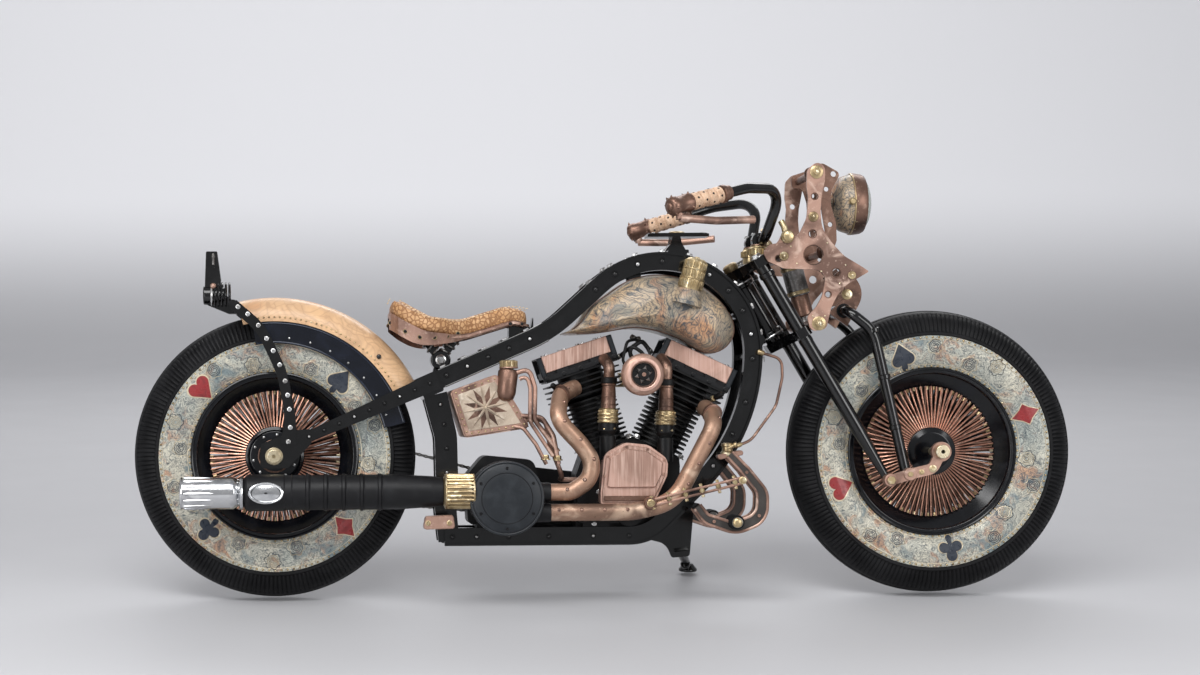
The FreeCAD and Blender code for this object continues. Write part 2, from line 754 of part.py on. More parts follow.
TAIL_POST = [(-14.5, -19.5, 4), (17.5, -19.5, 4), (17.5, -3.5, 4), (-34.5, 38.5, 6), (-34.5, 68.5, 6),
             (-43.5, 138.5, 3), (-71.5, 138.5, 3), (-75.5, 38.5, 6), (-69.5, 3.5, 6)]
tail_outline = [(STRUT_BAR[0] + x, STRUT_BAR[1] + z, round_by) for x, z, round_by in TAIL_POST]
tail_post = plate("tail_post", [tail_outline], 26, node=False)
tail_can = turned("tail_can", [(0, -30), (19, -30, 3), (24, 0, 6), (24, 26, 4), (0, 26)],
                  Vector(STRUT_BAR[0] - 53.5, 0, STRUT_BAR[1] + 28.5), BACK, node=False)
less("tail_lamp", joined("tail_block", [tail_post, tail_can], node=False), struts)

# Saddle: cushion on a pan, hinged at its nose, damped at the back

SADDLE_LINE = [(-536.0, 733.0), (-492.0, 702.0, 60), (-440.0, 674.0, 80), (-358.0, 666.0, 150),
               (-272.0, 692.0, 120), (-225.0, 706.0, 60), (-172.0, 696.0)]
SADDLE_PLAN = [(-534.0, 60, 50), (-520.0, 128, 60), (-420.0, 130, 60), (-330.0, 70, 60), (-180.0, 42, 30),
               (-180.0, -42, 30), (-330.0, -70, 60), (-420.0, -130, 60), (-520.0, -128, 60), (-534.0, -60,
                   50)]


def saddle_part(label, above, below, node=True):
    """Part of the saddle between two depths off its line, trimmed to the plan of the seat."""
    side = plate(label + "_side", [strip(SADDLE_LINE, above, below)], 300, node=False)
    plan = new_body(label + "_plan")
    sketch = sketch_on(plan, "XY_Plane", [SADDLE_PLAN], 600)
    lift = plan.newObject("PartDesign::Pad", "Pad")
    lift.Profile = sketch
    lift.Length = 300
    made = doc.addObject("Part::Common", label)
    made.Label = label
    made.Base = side
    made.Tool = plan
    if node:
        nodes.append(made)
    return made


CUSHION_HALF = size("seat_thickness") / 2 - 2
PAN_TOP = CUSHION_HALF + size("seat_gap")
PAN_FOOT = PAN_TOP + size("pan_thickness")
saddle_part("seat_cushion", CUSHION_HALF, CUSHION_HALF)
seat_pan = saddle_part("seat_pan", -PAN_TOP, PAN_FOOT)
under_seat = plate("under_seat", [strip(SADDLE_LINE, 60, PAN_FOOT)], 300, node=False)
seat_arm = plate("seat_arm", [strip([(-470.0, 680.0), (-404.0, 590.0, 20), (-340.0, 680.0)], 9)], 40,
    node=False)
seat_disc = turned("seat_disc", [(0, -34), (25, -34, 4), (25, 34, 4), (0, 34)], Vector(-404, 0, 592),
    RIGHT, node=False)
seat_foot = plate("seat_foot", [[(-428, 540), (-392, 540), (-392, 596, 6), (-416, 596, 6)]], 30, node=False)
seat_spring = joined("seat_spring", [seat_arm, seat_disc, seat_foot], node=False)
nose = plate("nose", [[(-232, 610, 4), (-170, 640, 4), (-170, 700, 8), (-232, 700, 8)]], 44, node=False)
nose_bar = plate("nose_bar", [on_back(590.0, 16) + (9.0,)], 2 * BEAM_Y, node=False)
seat_nose = joined("seat_nose", [nose, nose_bar], node=False)
less("seat_mounts", grouped("mount_set", [seat_spring, seat_nose], node=False),
     joined("mount_tools", [under_seat, seat_post] + beams, node=False))

# Fuel tank: bean shaped side view, swelling to both sides under the arch

TANK_OUTLINE = [
    (-92, 659), (-60, 680), (-33, 719), (5, 748), (54, 781), (118, 799), (186, 794), (254, 766), (310, 714),
    (330, 657), (302, 612), (260, 603), (214, 626), (141, 658), (67, 668), (-18, 656),
]
TANK_HEART = Vector(150, 0, 712)


def tank_station(y, share):
    """Tank outline shrunk towards its heart, on the plane at y."""
    points = [TANK_HEART + (Vector(x, 0, z) - TANK_HEART) * share + LEFT * y for x, z in TANK_OUTLINE]
    curve = Part.BSplineCurve()
    curve.interpolate(points, True)
    return Part.Wire([curve.toShape()])


TANK_HALF = size("tank_half_width")
tank_stations = []
for step in range(-6, 7):
    part = step / 6.0
    height = math.sin(part * math.pi / 2)
    share = max(0.30, (1 - abs(height) ** 4.0) ** 0.4) if abs(part) < 1 else 0.30
    tank_stations.append(tank_station(TANK_HALF * height, share))
fuel_tank = solid("fuel_tank", Part.makeLoft(tank_stations, True, False))
perch_x, perch_z = on_arch(-15.0)
tank_perch = plate("tank_perch",
    [[(perch_x - 16, perch_z), (perch_x + 16, perch_z), (perch_x + 16, perch_z - 60),
                                   (perch_x - 16, perch_z - 60)]], 44, node=False)
less("frame_cross_tubes", joined("tube_block", [cross_tubes, tank_perch], node=False), fuel_tank)

# Engine



def bank(tilt):
    """Direction up a cylinder, tilted forward from the vertical."""
    return Vector(math.sin(math.radians(tilt)), 0, math.cos(math.radians(tilt)))


DECK = 176.0
HEAD_DECK = DECK + 11 * size("fin_pitch")
BOX_DECK = HEAD_DECK + 72.0
HEAD_WIDTH = 150.0
HEAD_SIDE = 92.0
HEAD_ROOM = HEAD_SIDE + size("seat_gap")


def cylinder(label, tilt):
    """Finned barrel and head, turned and squared about the cylinder's own axis."""
    way = bank(tilt)
    core = size("barrel_radius")
    fin = size("cylinder_radius")
    profile = [(0, DECK - 14), (core, DECK - 14)]
    for index in range(11):
        low = DECK + index * size("fin_pitch")
        profile += [(core, low), (fin, low), (fin, low + size("fin_thickness")),
            (core, low + size("fin_thickness"))]
    profile += [(core + 6, HEAD_DECK), (core + 6, BOX_DECK), (0, BOX_DECK)]
    barrel = turned(label + "_barrel", profile, CRANK, way, node=False)
    fins = new_body(label + "_head", Placement(CRANK, Rotation(Vector(0, 1, 0), tilt)))
    for index in range(5):
        low = HEAD_DECK + 4 + index * (size("fin_pitch") + 2)
        top = low + size("fin_thickness")
        outline = [(-HEAD_SIDE, low), (HEAD_SIDE, low), (HEAD_SIDE, top), (-HEAD_SIDE, top)]
        pad(fins, [outline], HEAD_WIDTH)
    return joined(label, [barrel, fins], node=False)


REAR_TILT = -18.0
FRONT_TILT = 25.5
cylinders = grouped("cylinders",
    [cylinder("rear_cylinder", REAR_TILT), cylinder("front_cylinder", FRONT_TILT)])
boxes = []
for label, tilt in (("rear_rocker_box", REAR_TILT), ("front_rocker_box", FRONT_TILT)):
    box = new_body(label, Placement(CRANK, Rotation(Vector(0, 1, 0), tilt)))
    pad(box, [[(-96, BOX_DECK), (96, BOX_DECK), (96, BOX_DECK + 16, 2), (90, BOX_DECK + 16),
        (84, BOX_DECK + 52, 10),
               (-84, BOX_DECK + 52, 10), (-90, BOX_DECK + 16), (-96, BOX_DECK + 16, 2)]], "rocker_box_width")
    boxes.append(box)
grouped("rocker_boxes", boxes)
rooms = []
for tilt in (REAR_TILT, FRONT_TILT):
    room = size("cylinder_radius") + size("seat_gap")
    rooms.append(turned("barrel_room",
        [(0, DECK - 14), (room, DECK - 14), (room, HEAD_DECK + 2), (0, HEAD_DECK + 2)], CRANK,
                        bank(tilt), node=False))
    room = new_body("head_room", Placement(CRANK, Rotation(Vector(0, 1, 0), tilt)))
    pad(room, [[(-HEAD_ROOM, HEAD_DECK), (HEAD_ROOM, HEAD_DECK), (HEAD_ROOM, BOX_DECK),
        (-HEAD_ROOM, BOX_DECK)]],
        HEAD_WIDTH + 2 * size("seat_gap"))
    rooms.append(room)
engine_room = joined("engine_room", rooms, node=False)


def on_deck(tilt, along):
    """Place on the crankcase deck of a bank, measured across the bank to the front."""
    way = bank(tilt)
    return (CRANK.x + way.x * DECK + way.z * along, CRANK.z + way.z * DECK - way.x * along)


CASE_INSIDE = 2 * (BEAM_Y - size("beam_flange_width") / 2) - 4
case = plate("case", [[
    (-70, 170, 20), (0, 140, 30), (96, 138, 30), (168, 200, 30), (186, 250, 50), (190, 320, 20),
    on_deck(FRONT_TILT, 58) + (6,), on_deck(FRONT_TILT, -70.2), on_deck(REAR_TILT, -58) + (6,), (-70, 300,
        30),
    (-76, 240, 20)]], CASE_INSIDE, node=False)
flank = plate("flank", [[
    (-66, 182, 10), (84, 182, 10), (156, 254, 20), (150, 320, 40), (62, 332, 30), (-30, 320, 40), (-70,
        250, 20)]], 166,
    node=False)
RAIL_TOP = RAIL_Z + BEAM_HALF
engine_feet = plate("engine_feet", [[(-56, RAIL_TOP), (10, RAIL_TOP), (10, 200), (-56, 200)]], 160,
    node=False)
front_foot = plate("front_foot", [[(140, 236), (196, 250), (206, 268), (150, 300)]], 2 * BEAM_Y, node=False)
cam_spacer = plate("cam_spacer", [(68.0, 300.0, 40.0)], 10.0, -83.0, node=False)
crank_boss = turned("crank_boss", [(0, -97), (34, -97), (34, 88), (0, 88)], CRANK, RIGHT, node=False)
crankcase = less("crankcase", joined("case_block",
    [case, flank, crank_boss, cam_spacer, engine_feet, front_foot], node=False),
                 joined("case_tools", [cylinders] + beams, node=False))

CAM_Y = -(88.0 + 24.0)
cam = new_body("cam_cover")
pad(cam, [[(-18, 258, 10), (-18, 231, 6), (108, 231, 6), (120, 246, 10), (146, 300, 20), (149, 340, 30),
    (100, 376, 40),
           (45, 382, 30), (-8, 356, 30)]], 48, CAM_Y)
nodes.append(cam)

PUSHROD_Y = -104.0
pushrods = []
for label, top, foot in (("rear_pushrod", (10.0, 575.0), (4.0, 386.0)),
    ("front_pushrod", (152.0, 575.0), (146.0, 380.0))):
    pipe = tube(label + "_tube",
        [(foot[0], PUSHROD_Y, foot[1] - 20), (top[0], PUSHROD_Y, top[1], 22), (top[0], -60, top[1])], 12.0,
                node=False)
    base = turned(label + "_base",
        [(0, -46), (20, -46), (20, 12), (16, 16), (23, 26, 4), (23, 44, 4), (16, 54), (16, 60),
                                    (0, 60)], Vector(foot[0], PUSHROD_Y, foot[1]), UP, node=False)
    pushrods.append(joined(label, [pipe, base], node=False))
less("pushrod_tubes", grouped("pushrods", pushrods, node=False),
    joined("pushrod_tools", [engine_room, cam], node=False))

CARB = Vector(76.0, 0, 547.0)
carb_body = turned("carb_body", [(0, -20), (22, -20), (22, 90, 3), (30, 96, 3), (30, 150, 4), (22, 156),
    (22, 190), (0, 190)],
                   CARB, RIGHT, node=False)
carb_arms = turned("carb_arms", [(0, -80), (18, -80), (18, 80), (0, 80)], CARB - UP * 8, AHEAD, node=False)
less("carburettor", joined("carb_block", [carb_body, carb_arms], node=False), engine_room)
turned("air_cleaner", [(14, 190), (40, 190, 6), (51, 200, 10), (51, 226, 12), (36, 236, 8), (26, 226, 4),
    (14, 226)],
       CARB, RIGHT)

# Exhaust: two headers into the round drum, clamp, muffler and tip

HEADER_Y = -160.0
CLUTCH = Vector(-254.0, 0, 249.0)
COVER = size("clutch_cover_radius")
GEAR_HALF = 59.0
drum_can = turned("exhaust_drum",
    [(0, GEAR_HALF), (26, GEAR_HALF), (26, 118), (COVER - 6, 118, 4), (COVER, 126, 4), (COVER, 196, 3),
                                   (COVER - 6, 204, 3), (COVER - 20, 204), (COVER - 24, 199), (24,
                                       199), (0, 201)], CLUTCH, RIGHT)
pipes = [
    tube("rear_pipe", [(-70, -66, 520), (-112, -100, 500, 30), (-126, HEADER_Y, 440, 50),
        (-70, HEADER_Y, 380, 60),
                       (-20, HEADER_Y, 310, 55), (-92, HEADER_Y, 262, 40), (-190, HEADER_Y,
                           262)], "header_radius", node=False),
    tube("front_pipe", [(250, -60, 470), (262, -110, 452, 24), (257, HEADER_Y, 420, 40),
        (160, HEADER_Y, 236, 110),
                        (60, HEADER_Y, 212, 160), (-190, HEADER_Y, 212)], "header_radius", node=False),
]
header_tools = joined("header_tools", [engine_room, drum_can], node=False)
less("exhaust_headers", grouped("pipes", pipes, node=False), header_tools)
GEAR_CASE = [(-86.2, -69, 14), (83.8, -73, 14), (103.8, 1, 20), (77.8, 91, 24), (-46.2, 103, 24),
             (-91.2, 51, 20)]
gearbox = plate("gear_case", [[(GEARBOX_X + x, GEARBOX_Z + z, round_by) for x, z, round_by in GEAR_CASE]],
                2 * GEAR_HALF, node=False)
gear_feet = plate("gear_feet", [[(GEARBOX_X - 66.2, RAIL_TOP), (GEARBOX_X + 53.8, RAIL_TOP),
                                 (GEARBOX_X + 53.8, GEARBOX_Z - 59), (GEARBOX_X - 66.2, GEARBOX_Z - 59)]], 160,
                  node=False)
output = turned("output", [(0, 50), (25, 50), (25, CHAIN_Y - 8), (DRIVE_RADIUS, CHAIN_Y - 4),
    (DRIVE_RADIUS, CHAIN_Y + 4),
                           (25, CHAIN_Y + 8), (25, 97), (0,
                               97)], Vector(GEARBOX_X, 0, GEARBOX_Z), LEFT, node=False)
joined("gearbox", [gearbox, gear_feet, output])

MUFFLER_Y = -172.0
MUFFLER = Vector(-407.0, MUFFLER_Y, 266.0)
RADIUS = size("muffler_radius")
ribs = []
for index in range(5):
    at = 156.0 + index * 44.0
    ribs += [(RADIUS - 2, at - 5), (RADIUS + 1, at - 3), (RADIUS + 1, at + 3), (RADIUS - 2, at + 5)]
turned("muffler", [(0, 0), (34, 0, 3), (38, 30, 10), (RADIUS - 2, 110, 60)] + ribs + [
    (RADIUS - 2, 386), (RADIUS, 390), (RADIUS, 480, 6), (34, 488), (0, 488)], MUFFLER, BACK)
turned("muffler_tip", [(24, 488), (32, 488), (32, 500, 4), (40, 512, 10), (38, 640, 3), (34, 640),
    (36, 514, 8), (24, 506)],
       MUFFLER, BACK)
clamp = turned("clamp", [(0, -80), (30, -80), (40, -66, 3), (40, -4, 3), (34, 0), (0, 0)], MUFFLER, BACK,
    node=False)
less("muffler_clamp", clamp, drum_can)

# Primary drive cover on the left

band("primary_cover", [((GEARBOX_X, GEARBOX_Z), 80.0, (CRANK.x, CRANK.z), 84.0)], 58, 97 + 29)

# Oil tank under the saddle with its filler and lines

oil_box = plate("oil_box", [[(-386, 512, 10), (-268.8, 554, 14), (-186, 420, 10), (-350, 396, 10)]], 220,
    node=False)
oil_box.Tip.setExpression("Length", "2 * Sizes.oil_tank_half_width")
oil_tank = less("oil_tank", oil_box, seat_post)
oil_neck = turned("oil_neck", [(0, -30), (12, -30), (12, 18), (20, 20, 3), (20, 40, 5), (0, 40)],
    Vector(-240, -106, 548), UP,
                  node=False)
oil_cap = less("oil_cap", oil_neck, oil_tank, node=False)
oil_pipe = tube("oil_pipe", [(-230, -96, 440), (-150, -104, 440, 20), (-140, -110, 380, 30),
    (-110, -112, 300, 20),
                             (-110, -60, 290, 12), (-40, -60, 290)], 6.0, node=False)
less("oil_lines", oil_pipe, joined("oil_tools", [oil_tank, crankcase], node=False))

# Foot controls

LOOP_Y = -150.0
LOOP_TOP = on_front(33.4)
LOOP = [LOOP_TOP, (335, 308, 20), (372, 262, 30), (372, 204, 36), (306, 176, 36), (236, 196, 20), (214, 224)]
loop_right = plate("foot_loop", [strip(LOOP, 13)], 36, LOOP_Y, node=False)
loop_peg = turned("foot_peg", [(0, 130), (12, 130), (12, 132), (16, 134, 2), (16, 204, 4), (0, 204)],
    Vector(306, 0, 186), RIGHT,
                  node=False)
loop_arm = turned("loop_arm", [(0, BEAM_Y + size("beam_web") / 2), (12, BEAM_Y + size("beam_web") / 2),
    (12, 140), (0, 140)],
                  Vector(LOOP_TOP[0], 0, LOOP_TOP[1]), RIGHT, node=False)
both_sides("foot_controls", joined("foot_control", [loop_right, loop_peg, loop_arm], node=False))

# Dash pedestal and fuel cap

dash = plate("dash", [[(162, 840, 2), (214, 830, 2), (214, 862, 4), (204, 880, 8), (200, 897),
    (272, 897, 2), (272, 905, 2),
                       (118, 905, 2), (118, 897, 2), (180, 897), (176, 880, 8), (162, 862,
                           4)]], 60, node=False)
dash_foot = plate("dash_foot", [[(162, 836, 2), (214, 826, 2), (214, 861, 3), (162, 861, 3)]], 2 * BEAM_Y,
    node=False)
less("dash_pedestal", joined("dash_block", [dash, dash_foot], node=False),
    joined("dash_tools", beams, node=False))
cap = turned("cap", [(0, -50), (20, -50), (20, 0), (27, 4, 3), (27, 48, 4), (20, 54, 4), (0, 54)],
    Vector(214, -113, 782),
             Vector(0.25, -0.02, 0.97), node=False)
fuel_cap = less("fuel_cap", cap, fuel_tank, node=False)
grouped("filler_caps", [fuel_cap, oil_cap])

# Fork

stem = turned("stem", [
    (0, -20), (size("head_bore") - size("stem_gap"), -20),
    (size("head_bore") - size("stem_gap"), size("head_length") + 20), (0,
        size("head_length") + 20)], HEAD_FOOT, STEER_UP, node=False)
FOOT = on_fork(-439.4, size("leg_offset"))
LEG_TOP = size("head_length") + 24


def leg(label, sign):
    start = on_fork(LEG_TOP, size("leg_offset"), sign * LEG_Y)
    length = (FOOT + LEFT * (sign * LEG_Y) - start).Length
    big = size("leg_radius")
    return turned(label, [(0, 0), (big, 0, 2), (big, length - 140), (size("leg_foot_radius"), length - 20),
        (size("leg_foot_radius"), length + 12, 6),
                          (0, length + 12)],
                  start, STEER_UP * -1, node=False)


legs = [leg("rigid_leg_right", -1), leg("rigid_leg_left", 1)]
clamps = []
for label, up in (("upper_clamp", size("head_length") + 18), ("lower_clamp", -18)):
    middle = on_fork(up, 0)
    body = new_body(label, Placement(middle, Rotation(Vector(0, 1, 0), -size("rake_angle"))))
    wing = LEG_Y + size("leg_radius") + 4
    half = [(72, wing, 12), (34, wing, 4), (31, LEG_Y - 6, 30), (8, 58, 40), (-25, 26, 14)]
    outline = half + [(x, -y, r) for x, y, r in half[::-1]]
    sketch = sketch_on(body, "XY_Plane", [outline], 0)
    lift = body.newObject("PartDesign::Pad", "Pad")
    lift.Profile = sketch
    lift.SideType = "Symmetric"
    lift.Length = 24
    clamps.append(body)
fork_legs = joined("fork_legs", legs + clamps + [stem])

spring = []
for sign in (-1, 1):
    spring.append(tube("spring_leg",
        [(742, sign * LEG_Y, 300), (664, sign * LEG_Y, 655, 90), (600, sign * LEG_Y, 706, 30),
                                      (600, sign * 40, 706)], "spring_leg_radius", node=False))
spring_bar = plate("spring_bar", [(600.0, 706.0, 18.0)], 130, node=False)
joined("spring_legs", spring + [spring_bar])

ROCKER = [(FOOT.x, FOOT.z), (FOOT.x + 47.5, FOOT.z + 14.5, 60), (FRONT_X - 21.8, AXLE_Z - 42, 24),
          (FRONT_X, AXLE_Z)]
rocker_bar = plate("rocker_bar", [strip(ROCKER, 13)], "rocker_thickness", -ROCKER_Y, node=False)
eyes = []
for x, z, side in ((FOOT.x, FOOT.z, size("leg_foot_radius")), (744, 299, size("spring_leg_radius"))):
    near = LEG_Y + side + size("seat_gap")
    eyes.append(turned("eye", [(0, near), (16, near), (16, ROCKER_Y + 8, 2), (0, ROCKER_Y + 8)],
        Vector(x, 0, z), RIGHT,
                       node=False))
eyes.append(turned("eye", [(0, ROCKER_Y - 9), (24, ROCKER_Y - 9), (24, FRONT_AXLE_HALF),
    (0, FRONT_AXLE_HALF)], FRONT_CENTRE,
                   RIGHT, node=False))
axle_room = turned("axle_room", [(0, 60), (size("axle_radius"), 60), (size("axle_radius"), 180), (0, 180)],
    FRONT_CENTRE,
                   RIGHT, node=False)
both_sides("front_rockers", less("front_rocker", joined("rocker_block", [rocker_bar] + eyes, node=False),
    axle_room, node=False))

SIDE_PLATE = [
    (518.7, 1071, 18), (497, 1049, 18), (495, 1009, 40), (499, 979, 30), (495, 932, 40), (475, 890,
        40), (437, 872, 40),
    (404, 868, 10), (386, 849, 14), (398, 826, 10), (437, 808, 20), (526, 804, 30), (540, 785, 20), (532,
        740, 60),
    (517, 713, 40), (494, 688, 12), (503, 652, 16), (541, 658, 16), (553, 710, 40), (568, 740, 40), (592,
        767, 40),
    (622, 784, 30), (648, 799, 3), (625, 814, 30), (586, 838, 60), (556, 871, 60), (532, 907, 60), (529,
        949, 60),
    (531, 979, 40), (540, 1024, 30), (541, 1060, 18)]
HOLES = [(510.7, 841.0, 23.0), (508.9, 892.7, 9.0), (566.5, 796.7, 10.0), (546.2, 743.1, 7.0),
    (514.9, 985.2, 7.0),
         (424.7, 832.7, 7.0)]
PLATE_Y = LEG_Y + size("leg_radius") + 4 + size("side_plate_thickness") / 2
side_plate = plate("side_plate", [SIDE_PLATE] + HOLES, "side_plate_thickness", -PLATE_Y, node=False)
both_sides("fork_side_plates", side_plate)

PLATE_INSIDE = PLATE_Y - size("side_plate_thickness") / 2
SPACERS = [(520.0, 671.6, 12.0), (438.0, 838.0, 12.0), (520.0, 1045.0, 9.0), (605.0, 790.0, 9.0),
    (474.0, 858.0, 10.0),
           (548.0, 850.0, 9.0)]
spacers = []
for x, z, r in SPACERS:
    spacers.append(turned("spacer",
        [(0, -PLATE_INSIDE), (r, -PLATE_INSIDE), (r, PLATE_INSIDE), (0, PLATE_INSIDE)],
                          Vector(x, 0, z), RIGHT, node=False))
spacer_set = joined("spacer_set", spacers, node=False)
DAMPER_TOP = Vector(478, 0, 845)
DAMPER_WAY = Vector(0.254, 0, -0.967)
damper = turned("damper", [(0, -13), (20, -13, 3), (24, 0, 3), (24, 80, 4), (9, 86), (9, 150), (14, 152),
    (14, 180), (0, 180)],
                DAMPER_TOP, DAMPER_WAY, node=False)
less("fork_damper", damper, spacer_set)
cranks = []
for sign in (-1, 1):
    one = new_body("bell_crank")
    pad(one, [strip([(586.0, 684.0), (634.0, 750.0, 40), (594.0, 808.0)], [28.0, 16.0, 20.0])], 12,
        sign * 60.0)
    pad(one, [(600.0, 706.0, 18.0)], 20, sign * 60.0, cut=True)
    cranks.append(one)
linkage = joined("fork_linkage", spacers + cranks)

LAMP = Vector(622.0, 0, 978.0)
lamp_bowl = turned("lamp_bowl", [(0, -40), (30, -38, 10), (66, -20, 20), (75, 8, 10), (75, 14, 3),
    (60, 34, 6), (46, 40),
                                (0, 40)], LAMP, AHEAD, node=False)
lamp_stub = turned("lamp_stub", [(0, -72), (13, -72, 2), (13, -30), (0, -30)], LAMP, AHEAD, node=False)
EAR_Y = 79.0
lamp_pin = plate("lamp_pin", [(LAMP.x - 66, LAMP.z, 8.0)], 2 * (EAR_Y - 3), node=False)
joined("headlight", [lamp_bowl, lamp_stub, lamp_pin])
turned("headlight_lens", [(0, 40), (44, 40), (40, 46, 3), (0, 50)], LAMP, AHEAD)
EAR = [(500, 1058, 14), (546, 1073, 14), (591, 1047, 12), (567, 1005, 40), (566, 969, 40), (579, 923, 30),
    (580, 880, 14),
       (566, 840, 14), (534, 832, 12), (530, 858, 10), (552, 900, 20), (543, 954, 40), (541, 990,
           40), (530, 1026, 16),
       (504, 1028, 10)]
ear = plate("ear", [EAR, (573.2, 1045.6, 7.0), (555.1, 1008.0, 6.0), (564.1, 920.0, 6.0)], 6, -EAR_Y,
    node=False)
less("headlight_bracket", both_sides("ears", ear, node=False), linkage)

BAR_END = size("bar_half_width")
BAR_Z = 884.0
GRIP_END = Vector(137, -BAR_END, 943)
GRIP_INNER = Vector(330, -235, 992)
bar_half = [tuple(GRIP_END), tuple(GRIP_INNER) + (60,), (425, -150, 1000, 36), (400, -86, BAR_Z, 36)]
bar_other = [(x[0], -x[1], x[2]) + tuple(x[3:]) for x in bar_half][::-1]
tube("handlebar", bar_half + bar_other, "bar_radius")
grip_way = (GRIP_INNER - GRIP_END).normalize()
bar = size("bar_radius")
grip = size("grip_radius")
right_grip = turned("grip", [(0, -10), (grip - 2, -10, 4), (grip + 2, 6, 3), (grip + 2, 52, 3),
    (grip - 2, 56), (grip - 2, 60),
                             (grip, 62), (grip, 140, 4), (bar + 0.05, 144), (bar + 0.05, 0), (0,
                                 0)], GRIP_END, grip_way,
                   node=False)
both_sides("grips", right_grip)
lever_bar = tube("lever_bar", [(148, -346, 914), (240, -312, 910, 90), (338, -270, 916)], 7.0, node=False)
perch = turned("perch", [(0, 0), (9, 0), (9, 14), (0, 14)], Vector(148, -343, 912), UP, node=False)
both_sides("control_levers", less("control_lever", joined("lever_block", [lever_bar, perch], node=False),
    right_grip, node=False))
RISER_FOOT = Vector(392.5, -45, 843)
RISER_TOP = BAR_Z - size("bar_radius") - RISER_FOOT.z
riser = turned("riser", [(0, -20), (22, -20), (22, 12, 2), (15, 16), (21, 20, 2), (21, RISER_TOP - 0.3, 2),
    (0, RISER_TOP - 0.3)],
               RISER_FOOT, UP, node=False)
both_sides("bar_risers", less("bar_riser", riser, fork_legs, node=False))

# Side stand, propped out to the left, with its bracket on the frame

lean = math.radians(size("lean_angle"))
LIFT = CROWN_ARC * (1 - math.cos(lean)) + CROWN_FLAT * math.sin(lean) - GROUND_Z * math.cos(lean)
GROUND_UP = Vector(0, -math.sin(lean), math.cos(lean))
STAND_PIVOT = Vector(212, 115, 112)
STAND_FOOT_X = 262.0
STAND_FOOT_Y = 275.0
STAND_FOOT = Vector(STAND_FOOT_X, STAND_FOOT_Y, (STAND_FOOT_Y * math.sin(lean) - LIFT) / math.cos(lean))
STAND_ENDS = STAND_FOOT + GROUND_UP * 12
STAND_OUT = (STAND_ENDS - STAND_PIVOT).normalize()
STAND_BACK = Vector(-1, 0.03, -0.16).normalize()
STAND_AXIS = STAND_OUT.cross(STAND_BACK).normalize()
STAND_SWING = math.degrees(STAND_OUT.getAngle(STAND_BACK))
PIN_RADIUS = 8.0
stand_eye = turned("stand_eye", [(PIN_RADIUS + 0.08, -14.6), (18, -14.6, 2), (18, 14.6, 2),
    (PIN_RADIUS + 0.08, 14.6)],
                   STAND_PIVOT, STAND_AXIS, node=False)
reach = (STAND_ENDS - STAND_PIVOT).Length
stand_leg = turned("stand_leg", [(0, 12), (size("stand_radius"), 12), (size("stand_radius") - 3, reach),
    (0, reach)],
                   STAND_PIVOT, STAND_OUT, node=False)
stand_foot = turned("stand_foot",
    [(0, 0), (size("stand_foot_radius"), 0, 2), (size("stand_foot_radius"), 6, 2), (12, 20, 3),
                                   (0, 20)], STAND_FOOT, GROUND_UP, node=False)
joined("side_stand", [stand_leg, stand_eye, stand_foot])

bracket = plate("bracket", [[(96, 138, 6), (128, 176, 10), (232, 276, 8), (252, 262, 10), (236, 88, 8),
    (190, 84, 8),
                             (176, 120, 40), (120, 134,
                                 8)]], 8, BEAM_Y + size("beam_flange_width") / 2 + 4, node=False)
stand_turn = Rotation(Vector(1, 0, 0), LEFT, STAND_AXIS, "ZYX")
lugs = []
for level in (-19.0, 19.0):
    lug = new_body("stand_lug", Placement(STAND_PIVOT, stand_turn))
    sketch = sketch_on(lug, "XY_Plane", [[(-17, 17, 16), (17, 17, 16), (17, -30), (-17, -30)]], level)
    lift = lug.newObject("PartDesign::Pad", "Pad")
    lift.Profile = sketch
    lift.SideType = "Symmetric"
    lift.Length = 8
    lugs.append(lug)
stand_pin = turned("stand_pin", [(0, -24), (PIN_RADIUS, -24), (PIN_RADIUS, 24), (0, 24)], STAND_PIVOT,
    STAND_AXIS, node=False)
joined("stand_bracket", [bracket, stand_pin] + lugs)

# The machine leans over together until its tyres and the stand's foot are on the ground

doc.recompute()
LEAN = Placement(Vector(0, 0, LIFT), Rotation(Vector(1, 0, 0), -size("lean_angle")))
box = FreeCAD.BoundBox()
placed = []
for piece in nodes:
    label = piece.Label
    shape = piece.Shape.copy()
    shape.Placement = LEAN.multiply(shape.Placement)
    box.add(shape.optimalBoundingBox(False, False))
    piece.Label = label + "_upright"
    leaning = doc.addObject("Part::Compound", label + "_leaning")
    leaning.Label = label
    leaning.Links = piece.Links if piece.TypeId == "Part::Compound" else [piece]
    placed.append(leaning)
SET_DOWN = Placement(Vector(-box.Center.x, -box.Center.y, 0), Rotation()).multiply(LEAN)
for piece in placed:
    piece.Placement = SET_DOWN
doc.recompute()

faults = [item.Label for item in doc.Objects if "Invalid" in item.State or "Error" in item.State]
if faults:
    raise RuntimeError("failed: " + ", ".join(faults))
os.makedirs("parts", exist_ok=True)
for name in os.listdir("parts"):
    os.remove(os.path.join("parts", name))
for piece in placed:
    if piece.Shape.isNull() or not piece.Shape.isValid() or not piece.Shape.Solids:
        raise RuntimeError("bad shape: " + piece.Label)
    piece.Shape.exportStep("parts/" + piece.Label + ".step")
    print(piece.Label, len(piece.Shape.Solids), round(piece.Shape.Volume / 1000), "cm3")

